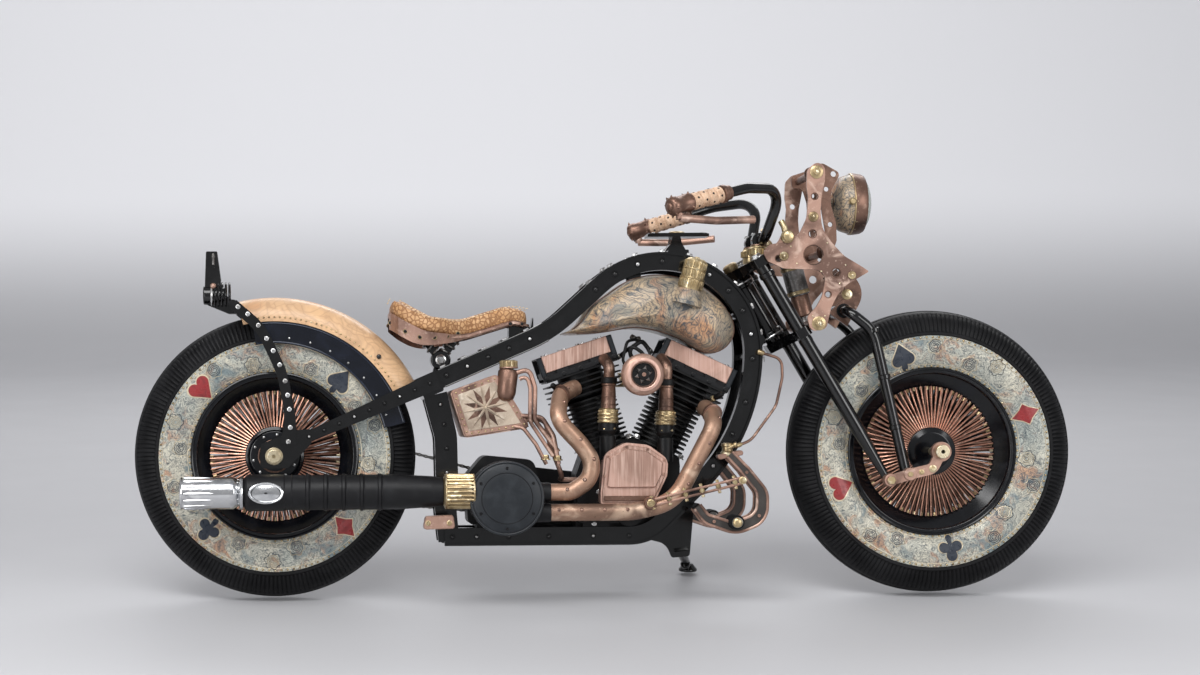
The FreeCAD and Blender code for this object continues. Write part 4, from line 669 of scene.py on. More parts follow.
class Cad:
    """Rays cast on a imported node, in upright millimetres."""

    def __init__(self, node: str) -> None:
        """Reads the node's mesh."""
        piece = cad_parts[node]
        mesh = piece.data
        back = SET_DOWN.inverted()
        points = [back @ (piece.matrix_world @ p.co) / MM for p in mesh.vertices]
        self.tree = BVHTree.FromPolygons(points, [tuple(p.vertices) for p in mesh.polygons])

    def hit(self, start: Point, way: Point) -> tuple[Vector, Vector] | None:
        """The first place a ray meets, with the surface's direction, or nothing."""
        spot, normal, _, _ = self.tree.ray_cast(v(start), v(way).normalized())
        if spot is None:
            return None
        return spot, normal if normal.dot(v(way)) < 0 else -normal


@dataclass
class Assembly:
    """One sub-assembly, built on one body."""

    title: str
    body: str
    origin: Vector = fixed(0, 0, 0)
    shapes: dict[Paint, Shape] = field(default_factory=dict)
    stands_for: tuple[str, ...] = ()

    def of(self, paint: Paint) -> Shape:
        """The shape that carries one finish."""
        return self.shapes.setdefault(paint, Shape())

    def dress(self, paint: Paint, *nodes: str) -> None:
        """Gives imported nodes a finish."""
        for name in nodes:
            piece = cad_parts[name]
            piece.data.materials.clear()
            piece.data.materials.append(paint.made())

    def pin(self, cad: Cad, start: Point, way: Point, paint: Paint, form: Callable, *sizes: float) -> None:
        """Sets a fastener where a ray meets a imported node, facing as its surface does.

        Args:
            cad: the node.
            start: where the ray starts.
            way: where the ray goes.
            paint: the fastener's finish.
            form: the method of Shape that builds it.
            sizes: the form's sizes.
        """
        found = cad.hit(start, way)
        if found:
            form(self.of(paint), *found, *sizes)

    def build(self) -> None:
        """Adds this assembly's shapes."""
        raise NotImplementedError

    def place(self) -> list[bpy.types.Object]:
        """Turns the shapes into pieces that ride the body.

        Returns:
            The pieces.
        """
        made = []
        for paint, shape in self.shapes.items():
            if not shape.faces:
                continue
            name = f"{self.title}_{paint.name.lower()}"
            mesh = bpy.data.meshes.new(name)
            mesh.from_pydata([(p - self.origin) * MM for p in shape.points], [], shape.faces)
            cleaner = bmesh.new()
            cleaner.from_mesh(mesh)
            bmesh.ops.remove_doubles(cleaner, verts=cleaner.verts, dist=WELD)
            bmesh.ops.recalc_face_normals(cleaner, faces=cleaner.faces)
            cleaner.to_mesh(mesh)
            cleaner.free()
            mesh.shade_smooth()
            mesh.set_sharp_from_angle(angle=CREASE)
            mesh.materials.append(paint.made())
            piece = bpy.data.objects.new(name, mesh)
            bpy.context.scene.collection.objects.link(piece)
            piece.matrix_world = SET_DOWN @ Matrix.Translation(self.origin * MM)
            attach(piece, self.body)
            made.append(piece)
        if self.stands_for:
            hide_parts(*self.stands_for)
        return made

    def run(self) -> None:
        """Builds, places and reports the assembly."""
        self.build()
        pieces = self.place()
        faces = sum(len(p.data.polygons) for p in pieces)
        log.info("%s: %d pieces, %d faces", self.title, len(pieces), faces)


TREAD_ROUND = 64.0
ROUND_MIDDLE = 290


def sidewall(radius: float) -> float:
    """Half the tyre's width at a radius: measured knots, then the tread's round."""
    knots = [(203, 44), (212, 50), (224, 58), (236, 62.4), (251, 65), (268, 65.2), (284, 64.6), (292, 64)]
    if radius >= knots[-1][0]:
        return math.sqrt(max(0.0, TREAD_ROUND**2 - (radius - ROUND_MIDDLE) ** 2))
    for (r0, y0), (r1, y1) in zip(knots, knots[1:]):
        if radius <= r1:
            return y0 + (y1 - y0) * max(0.0, radius - r0) / (r1 - r0)
    return TREAD_ROUND


class Suit(Enum):
    """Card figures as chains of discs: each row is x, y, radius at both ends."""

    HEART = ((-0.24, 0.16, 0.25, 0, -0.52, 0.02), (0.24, 0.16, 0.25, 0, -0.52, 0.02))
    SPADE = ((-0.24, -0.14, 0.23, 0, 0.52, 0.02), (0.24, -0.14, 0.23, 0, 0.52, 0.02),
        (0, -0.1, 0.04, 0, -0.48, 0.13))
    DIAMOND = ((0, 0, 0.30, 0, 0.54, 0.01), (0, 0, 0.30, 0, -0.54, 0.01), (0, 0, 0.30, 0.42, 0, 0.01),
        (0, 0, 0.30, -0.42, 0, 0.01))
    CLUB = ((0, 0, 0.15, 0, 0.27, 0.22), (0, 0, 0.12, -0.26, -0.1, 0.21), (0, 0, 0.12, 0.26, -0.1, 0.21),
        (0, -0.1, 0.04, 0, -0.46, 0.13))

    def outline(self, count: int = 72) -> Outline:
        """The figure's outline, one unit tall."""
        discs = []
        for x0, y0, r0, x1, y1, r1 in self.value:
            for i in range(17):
                t = i / 16
                discs.append((x0 + (x1 - x0) * t, y0 + (y1 - y0) * t, r0 + (r1 - r0) * t))
        made = []
        for x, y in circle(1, count):
            reach = 0.05
            for cx, cy, r in discs:
                along = cx * x + cy * y
                off = cx * cx + cy * cy - along * along
                if off < r * r:
                    reach = max(reach, along + math.sqrt(r * r - off))
            made.append((x * reach, y * reach))
        return made


@dataclass
class Wheel(Assembly):
    """A wire wheel with a decorated tyre."""

    suits: dict[Suit, float] = field(default_factory=dict)
    ribs: int = 190
    rib_depth: float = 3.0
    spoke_low: float = 50
    spoke_high: float = 163.5
    band_low: float = 204
    band_high: float = 289
    suit_radius: float = 248
    suit_height: float = 62

    def tyre(self) -> None:
        """The tyre with ribbed shoulders and a grooved crown."""
        half: list[tuple[float, float, bool]] = [(208, 20, False), (204, 38, False)]
        half += [(r, sidewall(r) - 0.6, False) for r in (204, 212, 220, 230, 240, 251, 262, 274, 286, 290)]
        half += [(291, 67, False), (297, 67.4, False), (299, 64, False)]
        half += [(r, sidewall(r) + 0.6, True) for r in (301, 306, 314, 322, 330, 337)]
        for degrees in (52, 56, 61, 66):
            angle = math.radians(degrees)
            reach, depth = TREAD_ROUND * math.sin(angle), TREAD_ROUND * math.cos(angle)
            half.append((ROUND_MIDDLE + reach, depth, degrees < 60))
        for y, drop in ((20, 0), (19, 3), (14, 3), (13, 0), (4, 0), (3, 3), (0, 3)):
            half.append((ROUND_MIDDLE + math.sqrt(TREAD_ROUND**2 - y * y) - drop, y, False))
        profile = [(r, -y, rib) for r, y, rib in half] + [(r, y, rib) for r, y, rib in reversed(half[:-1])]
        rows = []
        for r, y, rib in profile:
            row = []
            for i in range(self.ribs * 3):
                angle = 2 * math.pi * i / (self.ribs * 3)
                sunk = self.rib_depth if rib and i % 3 == 0 else 0.0
                depth = y - math.copysign(sunk * 0.8, y)
                reach = r - sunk * 0.5
                row.append(self.origin + Vector((reach * math.cos(angle), depth, reach * math.sin(angle))))
            rows.append(row)
        self.of(Paint.TYRE).skin(rows, caps=False)

    def band(self, side: int) -> None:
        """The decorated ring on one side of the tyre, with its dots and figures."""
        wide = self.band_high - self.band_low
        steps = [(r, sidewall(r) + 0.7) for r in (self.band_low + wide * i / 14 for i in range(15))]
        steps.append((self.band_high + 0.5, sidewall(288) - 1))
        rows = [[self.origin + Vector((r * x, side * y, r * z)) for x, z in circle(1, 180)] for r, y in steps]
        self.of(Paint.BAND).skin(rows, caps=False)
        dots = self.of(Paint.BRASS)
        for r, count in ((self.band_high - 4, 116), (self.band_low + 9, 84)):
            for x, z in circle(r, count):
                dots.dome(self.origin + Vector((x, side * sidewall(r), z)), ACROSS * side, 3.1, 3.2, 7)
        for r in (self.band_high - 9, self.band_low + 14):
            at = self.origin + ACROSS * side * (sidewall(r) + 0.4)
            self.of(Paint.RIM_LINE).torus(at, ACROSS, r, 0.9, 120, 5)
        for suit, degrees in self.suits.items():
            self.figure(suit, degrees, side)

    def on_side(self, spot: Vector, side: int, lift: float) -> Vector:
        """A place of the wheel's middle plane, moved out onto the tyre's side and lifted off it."""
        return self.origin + spot + ACROSS * side * (sidewall(spot.length) + lift)

    def figure(self, suit: Suit, degrees: float, side: int) -> None:
        """One card figure with a thin pale border, laid on the tyre's side."""
        centre = ahead_turned(math.radians(degrees)) * self.suit_radius
        out = centre.normalized()
        along = out.cross(ACROSS)
        face = Paint.RED if suit in (Suit.HEART, Suit.DIAMOND) else Paint.DARK
        for grow, lift, paint in ((1.126, 1.2, Paint.RIM_LINE), (1.0, 1.9, face)):
            rows = []
            for share in (1.0, 0.97, 0.8, 0.6, 0.4, 0.2, 0.02):
                size = self.suit_height * share * grow
                spots = [centre + (along * x + out * y) * size for x, y in suit.outline()]
                rows.append([self.on_side(spot, side, 0 if share == 1.0 else lift) for spot in spots])
            self.of(paint).skin(rows, caps=False)

    def nipples(self) -> None:
        """The spoke nuts in the rim's well."""
        for side, turn in ((-1, 0), (1, 3)):
            for i in range(60):
                out = ahead_turned(math.radians(6 * i + turn))
                at = self.origin + out * 160 + ACROSS * side * 9
                self.of(Paint.BRASS).lathe([(3.4, -5), (3.4, 3), (4.4, 4)], at, out, 6)

    def spokes(self) -> None:
        """Straight bright spokes on each side, and between them darker layers of dark copper and black
        spokes, painted shade in the wheel's depth.
        """
        layers = (
            (Paint.SPOKE, 76, 36, 17, 1.9, 2.0),
            # The dark copper and black layers are painted shade between the bright spokes.
            (Paint.BRONZE, 76, 24, 8, 1.8, -5.0),
            (Paint.ENGINE, 120, 10, 3, 2.6, 3.0),
        )
        for side in (-1, 1):
            for paint, count, low, high, radius, lead in layers:
                ends = zip(circle(self.spoke_low, count), circle(self.spoke_high, count, math.radians(lead)))
                for (x0, z0), (x1, z1) in ends:
                    a, b = Vector((x0, side * low, z0)), Vector((x1, side * high, z1))
                    self.of(paint).bar([self.origin + a, self.origin + b], radius, 5)

    def rosettes(self, side: int) -> None:
        """Coiled flowers, each inside a ring of petals, drawn on the band between its figures."""
        coil = [(0.36 * k, 3 + 0.24 * k) for k in range(60)]
        petals = [(math.pi * k / 18, 19.5 + 2.4 * math.sin(math.pi * k / 3)) for k in range(37)]
        for i in range(20):
            degrees = 18 * i + 3.6 * (i % 2) + 5 * side
            if min(abs((degrees - other + 180) % 360 - 180) for other in self.suits.values()) < 12:
                continue
            out = ahead_turned(math.radians(degrees))
            along = out.cross(ACROSS)
            centre = out * (234 + 28 * (i % 2))
            paints = (Paint.DARK, Paint.RIM_LINE) if i % 3 else (Paint.RIM_LINE, Paint.DARK)
            for paint, curve, lift in zip(paints, (coil, petals), (1.1, 1.0)):
                spots = [centre + along * math.cos(t) * size + out * math.sin(t) * size for t, size in curve]
                self.of(paint).bar([self.on_side(spot, side, lift) for spot in spots], 0.75, 4)

    def build(self) -> None:
        """The whole wheel."""
        which = self.title.split("_")[0]
        self.tyre()
        self.nipples()
        self.spokes()
        for side in (-1, 1):
            self.band(side)
            self.rosettes(side)
            self.of(Paint.RIM).torus(self.origin + ACROSS * side * 50, ACROSS, 207, 3.4, 160, 8)
            self.of(Paint.BLUE_TRIM).torus(self.origin + ACROSS * side * 47, ACROSS, 199, 1.4, 140, 6)
        self.dress(Paint.RIM, f"{which}_rim")
        # The imported spokes get the darker copper as painted shade behind the bright spokes.
        self.dress(Paint.BRONZE, f"{which}_spokes")
        if which == "front":
            self.dress(Paint.RIM, "front_hub_covers")


@dataclass
class Drive(Assembly):
    """Roller chain between the gearbox and the rear wheel."""

    front: Vector = fixed(-253.8, 0, 249)
    rear_radius: float = 97
    front_radius: float = 47
    middle: float = 84
    links: int = 100

    def loop(self) -> list[Vector]:
        """The chain's pitch line, closed."""
        rear, front = REAR_AXLE, self.front
        span = front - rear
        tilt = math.atan2(span.z, span.x)
        lean = math.acos((self.rear_radius - self.front_radius) / span.length)
        line = []
        for i in range(49):
            angle = tilt + lean + (2 * math.pi - 2 * lean) * i / 48
            line.append(rear + ahead_turned(angle) * self.rear_radius)
        for i in range(25):
            angle = tilt - lean + 2 * lean * i / 24
            line.append(front + ahead_turned(angle) * self.front_radius)
        line.append(line[0])
        return [p + ACROSS * self.middle for p in line]

    def build(self) -> None:
        """Link plates, rollers and pins."""
        line = self.loop()
        length = sum((b - a).length for a, b in zip(line, line[1:]))
        pitch = length / self.links
        pins = [spot for spot, _ in walk(line, pitch)][: self.links]
        for i, pin in enumerate(pins):
            after = pins[(i + 1) % len(pins)]
            way = (after - pin).normalized()
            across = Vector((-way.z, 0, way.x))
            centre = (pin + after) / 2
            half = (after - pin).length / 2
            edge = [(-half - 3.6, -2), (-half, -4.4), (0, -3), (half, -4.4), (half + 3.6, -2)]
            spots = [centre + way * x + across * z for x, z in edge + [(-x, -z) for x, z in edge]]
            outline = [(spot.x, spot.z) for spot in spots]
            for side in (-1, 1):
                near = self.middle + side * (5.2 if i % 2 else 7.2)
                self.of(Paint.STEEL).slab(outline, near - 0.9, near + 0.9, edge=0.3)
            self.of(Paint.BRASS).lathe([(4.2, -4.2), (4.2, 4.2)], pin, ACROSS, 8)
            self.of(Paint.BOLT).lathe([(2.0, -8.6), (2.0, 8.6)], pin, ACROSS, 6)


@dataclass
class Sprocket(Assembly):
    """Teeth and bolts of the rear sprocket, and the rear hub's faces."""

    teeth: int = 38

    def build(self) -> None:
        """Teeth, bolts and rings, and the studs on the hub's right face."""
        self.dress(Paint.STEEL, "rear_sprocket")
        self.dress(Paint.RIM, "rear_hub_cover")
        for x, z in circle(1, self.teeth):
            out = Vector((x, 0, z))
            place = turned_to(out, self.origin + out * 90 + ACROSS * 84)
            foot = ((-5, -3), (5, -3), (5, 3), (-5, 3))
            levels = ((1, 0), (0.8, 5), (0.3, 8.5))
            rows = [[place @ Vector((x * w, y * w, h)) for x, y in foot] for w, h in levels]
            self.of(Paint.STEEL).skin(rows)
        for x, z in circle(66, 10):
            self.of(Paint.BOLT).bolt(self.origin + Vector((x, 89, z)), ACROSS, 5)
        self.of(Paint.BRASS).torus(self.origin + ACROSS * 89, ACROSS, 80, 1.6)
        at = self.origin + RIGHT * 48
        self.of(Paint.RIM).torus(at, RIGHT, 66, 3)
        self.of(Paint.BRONZE).torus(at, RIGHT, 40, 2.2)
        for x, z in circle(54, 10, 0.2):
            self.of(Paint.BOLT).dome(at + Vector((x, 0, z)), RIGHT, 3.8, 2.6, 10)


@dataclass
class BeamFrame(Assembly):
    """The twin I-beam frame with its bolts, bosses and cross tubes."""

    arch: Vector = fixed(144, 0, 605.5)
    straight_up: Vector = fixed(-0.39, 0, 0.92)
    pitch_degrees: float = 15.6
    bolt: float = 8
    count: int = 0

    def build(self) -> None:
        """Lips and bolts on the flanges, and bosses on the webs, the stays and the seat post."""
        self.dress(Paint.FRAME, "frame_beam_right", "frame_beam_left", "frame_cross_tubes",
            "steering_head", "seat_post", "rear_stays", "stand_bracket")
        for side, node in ((-1, "frame_beam_right"), (1, "frame_beam_left")):
            beam = Cad(node)
            self.lips(beam, side * 83)
            for i in range(10):
                out = ahead_turned(math.radians(136 - self.pitch_degrees * i))
                self.pin(beam, self.arch + out * 300 + ACROSS * side * 72, -out, Paint.BOLT, Shape.bolt,
                    self.bolt, 5)
                self.boss(beam, self.arch + out * 227 + ACROSS * side * 120, -ACROSS * side, 7.5)
            for i in range(5):
                spot = Vector((-392 + 52 * i, side * 72, 552 + 22.3 * i))
                up = self.straight_up
                self.pin(beam, spot + up * 70, -up, Paint.BOLT, Shape.bolt, self.bolt, 5)
                self.boss(beam, spot + ACROSS * side * 50, -ACROSS * side, 6.5)
            for x, z in ((352, 480), (318, 400), (270, 322), (214, 250)):
                self.boss(beam, (x, side * 120, z), -ACROSS * side, 7)
            for x in (60, -30, -140, -240, -320, -380):
                self.boss(beam, (x, side * 120, 150), -ACROSS * side, 6)
        stays = Cad("rear_stays")
        for side in (-1, 1):
            for i in range(9):
                t = i / 8
                self.boss(stays, (-735 + 300 * t, side * 150, 402 + 130 * t), -ACROSS * side, 5)
            post = Cad("seat_post")
            for x, z in ((-407, 480), (-398, 430), (-392, 370), (-392, 310), (-394, 250), (-390, 190)):
                self.boss(post, (x, side * 100, z), -ACROSS * side, 5.5)
        head = self.of(Paint.BOLT)
        for up in (8, 160):
            head.torus(HEAD_FOOT + STEER_UP * up, STEER_UP, 33, 2.5)

    def lips(self, beam: Cad, y: float) -> None:
        """Rolled lips along the edges of a beam's flanges."""
        arch, sweep, up = self.arch + ACROSS * y, Vector((-90, y, 605.5)), self.straight_up
        outer, inner = [], []
        for i in range(36):
            spot = Vector((-405 + 7.4 * i, y, 546 + 3.17 * i))
            outer.append((spot + up * 60, -up))
            inner.append((spot - up * 60, up))
        turns = [(arch, 90 - degrees, 290, 150) for degrees in range(-44, 88, 2)]
        turns += [(sweep, -degrees, 530, 400) for degrees in range(4, 62)]
        for centre, degrees, far, near in turns:
            out = ahead_turned(math.radians(degrees))
            outer.append((centre + out * far, -out))
            inner.append((centre + out * near, out))
        for rays in (outer, inner):
            line: list[Vector] = []
            for start, way in rays:
                found = beam.hit(start, way)
                if found and (not line or (found[0] - line[-1]).length < 45):
                    line.append(found[0])
            if len(line) > 3:
                self.of(Paint.FRAME).bar(line, 2.0, 8)

    def boss(self, piece: Cad, start: Point, way: Point, radius: float) -> None:
        """A ringed plug where a ray meets the piece, and every third one is bare steel."""
        found = piece.hit(start, way)
        if found:
            self.count += 1
            self.of(Paint.FRAME).torus(found[0], found[1], radius, 1.3, 18, 6)
            plug = Paint.BOLT if self.count % 3 == 0 else Paint.FRAME
            self.of(plug).dome(found[0], found[1], radius * 0.62, 1.6)


@dataclass
class Fender(Assembly):
    """Rear fender: drawn hide crown, blue valances and forged struts."""

    def build(self) -> None:
        """Rivets, rim lines and strut bolts."""
        self.dress(Paint.CROWN, "fender_crown")
        self.dress(Paint.BLUE, "fender_valances")
        self.dress(Paint.FRAME, "fender_struts")
        crown, skin, strut = Cad("fender_crown"), Cad("fender_valances"), Cad("fender_struts")
        for side in (-1, 1):
            for i in range(34):
                out = ahead_turned(math.radians(28 + 2.2 * i))
                start = REAR_AXLE + out * 346 + ACROSS * side * 130
                self.pin(crown, start, -ACROSS * side, Paint.BRASS, Shape.dome, 2.6, 2.0, 10)
            rays = [ahead_turned(math.radians(14.6 + 84 * i / 59)) for i in range(60)]
            for reach, thick in ((284, 2.2), (331, 1.6)):
                line = [REAR_AXLE + ray * reach + ACROSS * side * 78.6 for ray in rays]
                self.of(Paint.BLUE_TRIM).bar(line, thick, 8)
            for i in range(8):
                out = ahead_turned(math.radians(20 + 10.4 * i))
                start = REAR_AXLE + out * 296 + ACROSS * side * 140
                self.pin(skin, start, -ACROSS * side, Paint.BOLT, Shape.dome, 3.2, 2.4, 10)
            spots = [(-786, 390), (-781, 425), (-783, 470), (-787, 505), (-793, 540), (-806, 580),
                (-822, 615), (-838, 645), (-858, 678), (-884, 706), (-908, 724)]
            for x, z in spots:
                self.pin(strut, (x, side * 170, z), -ACROSS * side, Paint.BOLT, Shape.bolt, 4.2, 2.6)
            self.of(Paint.FRAME).dome((-560, side * 77, 600), ACROSS * side, 6, 3)


@dataclass
class TailLamp(Assembly):
    """The tail lamp with its ribbed block and three prongs."""

    can: Vector = fixed(-974, 0, 760)

    def build(self) -> None:
        """Ribs, lens, stem and prongs."""
        self.dress(Paint.FRAME, "tail_lamp")
        at = self.can
        for i in range(5):
            self.of(Paint.FRAME).torus(at + AHEAD * (4 + 9 * i), AHEAD, 31, 2.4, 28, 6)
        self.of(Paint.BOLT).torus(at - AHEAD * 4, AHEAD, 28, 3.0)
        glass = [(27, -2), (26, 3), (20, 7), (10, 9), (0, 9.6)]
        self.of(Paint.LAMP_RED).lathe(glass, at - AHEAD * 3, -AHEAD, 28)
        self.of(Paint.COPPER).dome(at + UP * 33, UP, 10, 8)
        self.of(Paint.COPPER).dome(at + UP * 22 + RIGHT * 24, RIGHT, 8, 6)
        self.of(Paint.BOLT).lathe([(4.5, 0), (4.5, 26), (6, 28), (6, 32), (4, 34)], at + UP * 38, UP, 14)
        for y in (-13, 0, 13):
            prong = [(3.6, -4), (3.6, 20), (4.8, 22), (4.8, 30), (3, 33)]
            self.of(Paint.STEEL).lathe(prong, at + UP * 72 + ACROSS * y, UP, 12)
        self.of(Paint.FRAME).bar([at + UP * 72 + ACROSS * y for y in (-17, 0, 17)], 4.6, 8)


@dataclass
class Saddle(Assembly):
    """Sprung saddle: a stitched hide cushion on a drilled copper pan."""

    start_size: float = 0.975
    voxel: float = 0.005
    pressure: float = 4
    last_frame: int = 20
    swell: float = 0.006
    outline: tuple = ((-534, 60), (-528, 100), (-515, 122), (-490, 128), (-450, 131), (-420, 129),
        (-390, 112), (-360, 88), (-330, 70), (-280, 56), (-230, 48), (-180, 42))

    def cushion(self) -> bpy.types.Object:
        """The cushion, puffed by a short cloth run."""
        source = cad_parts["seat_cushion"]
        low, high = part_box("seat_cushion")
        middle = (low + high) / 2
        pad = bpy.data.objects.new("saddle_cushion", source.data.copy())
        bpy.context.scene.collection.objects.link(pad)
        mesh = pad.data
        rest = SET_DOWN.inverted()
        for vertex in mesh.vertices:
            vertex.co = middle + (vertex.co - middle) * self.start_size
        mesh.materials.clear()
        remesh = pad.modifiers.new("remesh", "REMESH")
        remesh.mode = "VOXEL"
        remesh.voxel_size = self.voxel
        remesh.use_smooth_shade = True
        self.bake(pad, remesh)
        self.puff(pad)
        smooth = pad.modifiers.new("smooth", "CORRECTIVE_SMOOTH")
        smooth.iterations = 6
        smooth.use_only_smooth = True
        self.bake(pad, smooth)
        fine = pad.modifiers.new("fine", "SUBSURF")
        fine.levels = 1
        fine.render_levels = 1
        self.bake(pad, fine)
        pad.data.transform(rest)
        pad.matrix_world = SET_DOWN
        pad.data.shade_smooth()
        pad.data.materials.append(Paint.SEAT.made())
        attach(pad, "frame")
        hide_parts("seat_cushion")
        return pad

    def bake(self, pad: bpy.types.Object, modifier: bpy.types.Modifier) -> None:
        """Applies a modifier to the cushion's mesh."""
        bpy.context.view_layer.objects.active = pad
        with bpy.context.temp_override(object=pad, active_object=pad, selected_objects=[pad]):
            bpy.ops.object.modifier_apply(modifier=modifier.name)

    def puff(self, pad: bpy.types.Object) -> None:
        """Swells the cushion as cloth under pressure, no further than the cap."""
        before = [p.co.copy() for p in pad.data.vertices]
        cloth = pad.modifiers.new("cloth", "CLOTH")
        cloth.settings.use_pressure = True
        cloth.settings.uniform_pressure_force = self.pressure
        cloth.settings.effector_weights.gravity = 0
        for number in range(1, self.last_frame + 1):
            bpy.context.scene.frame_set(number)
        self.bake(pad, cloth)
        bpy.context.scene.frame_set(1)
        for vertex, start in zip(pad.data.vertices, before):
            moved = vertex.co - start
            if moved.length > self.swell:
                vertex.co = start + moved.normalized() * self.swell

    def skirt(self) -> None:
        """The pan's turned-down copper edge, deep at the back and shallow at the nose."""
        pan = Cad("seat_pan")
        for side in (-1, 1):
            line = bent([(x, side * (y + 0.6), 0, 20) for x, y in self.outline], 8)
            rows: list[list[Vector]] = [[], [], [], []]
            for spot, _ in walk(line, 9, 4):
                found = pan.hit((spot.x, spot.y - side * 10, 500), UP)
                if found is None:
                    continue
                depth = 34 * max(0.12, min(1.0, (-330 - spot.x) / 150))
                for row, (out, z) in zip(rows, ((0, 9), (2.2, 9), (-6.0, -depth), (-8.2, -depth))):
                    row.append(Vector((spot.x, spot.y + side * out, found[0].z + z)))
            self.of(Paint.COPPER).skin([*rows, rows[0]], round_rows=False, caps=False)
            for spot in rows[2][2:26:4]:
                at = Vector((spot.x, spot.y + side * 4, spot.z + 18))
                self.of(Paint.ENGINE).dome(at, ACROSS * side, 4.4, 1.0, 12)
                self.of(Paint.BRASS).torus(at, ACROSS, 5.2, 1.0, 18, 6)

    def stitches(self) -> None:
        """A row of stitches along the cushion's top edge."""
        cushion = Cad("seat_cushion")
        for side in (-1, 1):
            line = bent([(x, side * (y - 9), 0, 20) for x, y in self.outline], 6)
            for spot, way in walk(line, 9):
                found = cushion.hit((spot.x, spot.y, 900), -UP)
                if found:
                    at = found[0] + found[1] * 1.2
                    thread = [at - way * 2.8, at + found[1] * 1.2, at + way * 2.8]
                    self.of(Paint.STITCH).bar(thread, [0.7, 1.2, 0.7], 6)

    def holes(self) -> None:
        """Ringed holes in the pan's side, as high up as the side reaches, each a dark copper ring round a
        black dot painted as the shade in the hole.
        """
        tray = Cad("seat_pan")
        for side in (-1, 1):
            for spot, _ in walk([Vector((x, y, 0)) for x, y in self.outline], 30, 12):
                for z in (640, 660, 680, 700):
                    found = tray.hit((spot.x, side * 220, z), (0, -side, 0))
                    if found and abs(abs(found[0].y) - spot.y) < 24:
                        # A dark copper ring round a black dot; the dot is painted shade standing for the
                        # hole.
                        self.of(Paint.BRONZE).torus(*found, 5.2, 1.1, 16, 6)
                        self.of(Paint.ENGINE).dome(*found, 4.6, 0.6)
                        break

    def springs(self) -> None:
        """Two coils on each side that meet at a bolt on the frame."""
        for side in (-1, 1):
            for x in (-470, -340):
                a, b = Vector((x, side * 20, 672)), Vector((-404, side * 20, 600))
                one, two = square_to(b - a)
                coil = []
                for i in range(97):
                    turn = math.pi * i / 8
                    coil.append(a.lerp(b, i / 96) + (one * math.cos(turn) + two * math.sin(turn)) * 13)
                self.of(Paint.STEEL).bar(coil, 2.6, 6)
            self.of(Paint.BOLT).bolt((-404, side * 34, 592), ACROSS * side, 10)

    def build(self) -> None:
        """The cushion, its stitches, the pan's edge and holes, and the springs."""
        self.dress(Paint.COPPER, "seat_pan")
        self.dress(Paint.FRAME, "seat_mounts")
        self.cushion()
        self.stitches()
        self.skirt()
        self.holes()
        self.springs()


@dataclass
class Tank(Assembly):
    """Heart-shaped fuel tank with a drawn hide and a fluted cap."""

    cap: Vector = fixed(214, -113, 782)
    cap_axis: Vector = fixed(0.25, -0.02, 0.97)
    oil_cap: Vector = fixed(-240, -106, 569)

    def build(self) -> None:
        """The fluted filler cap and its neck, the oil filler and the seam."""
        self.dress(Paint.HIDE, "fuel_tank")
        self.dress(Paint.BRASS, "filler_caps")
        axis = self.cap_axis.normalized()
        cap = self.of(Paint.BRASS)
        one, two = square_to(axis)
        flutes = ((6, 25, 26.5, 22, 1.2, 2.6), (29, 47, 26.5, 22, 1.2, 2.6), (-20, 1, 29, 26, 1.0, 2.4))
        for low, high, radius, count, thin, thick in flutes:
            for x, y in circle(radius, count):
                spot = self.cap + one * x + two * y
                line = [spot + axis * along for along in (low, low + 2, high - 2, high)]
                cap.bar(line, [thin, thick, thick, thin], 6)
        cap.torus(self.cap + axis * 27, axis, 27.5, 2)
        cap.lathe([(27, -26), (29, -22), (29, 2), (26, 5)], self.cap, axis, 40)
        self.of(Paint.HIDE).lathe([(40, -62), (33, -40), (30, -28), (28, -24)], self.cap, axis, 40)
        cap.torus(self.cap + axis * 49, axis, 22, 2.6)
        cap.torus(self.cap + axis * 4, axis, 29, 2.4)
        cap.bolt(self.cap + axis * 54, axis, 7, 3)
        for x, y in circle(20.5, 18):
            cap.bar([self.oil_cap + Vector((x, y, z)) for z in (1, 17)], 2.0, 6)
        self.of(Paint.COPPER).torus(self.oil_cap, UP, 22, 2)
        neck = [(3, -82), (14, -79), (21, -72), (24.5, -60), (25, -8), (21, -1), (18, 0)]
        self.of(Paint.BRONZE).lathe(neck, self.oil_cap + Vector((0, 2, -3)), (0.12, 0, 1), 36)
        tank = Cad("fuel_tank")
        seam = []
        for i in range(121):
            way = ahead_turned(math.radians(3 * i))
            found = tank.hit(Vector((150, -60, 712)) + way * 300, -way)
            if found:
                seam.append(found[0] + found[1] * 0.4)
        if len(seam) > 100:
            self.of(Paint.BRONZE).bar(seam[:-1], 1.8, 6, closed=True)


@dataclass(frozen=True)
class Bank:
    """One cylinder of the engine: places across, along y and up from the crank."""

    tilt: float
    crank: Vector = fixed(60, 0, 208)

    def at(self, across: float, y: float, up: float) -> Vector:
        """A place on the bank."""
        sine, cosine = math.sin(math.radians(self.tilt)), math.cos(math.radians(self.tilt))
        return self.crank + Vector((up * sine + across * cosine, y, up * cosine - across * sine))

    def up(self) -> Vector:
        """The bank's own upward direction."""
        t = math.radians(self.tilt)
        return Vector((math.sin(t), 0, math.cos(t)))

    def plate(self, corners: Sequence[Point]) -> Outline:
        """Corners across and up, as x and z."""
        spots = [self.at(s, 0, u) for s, u in corners]
        return [(p.x, p.z) for p in spots]


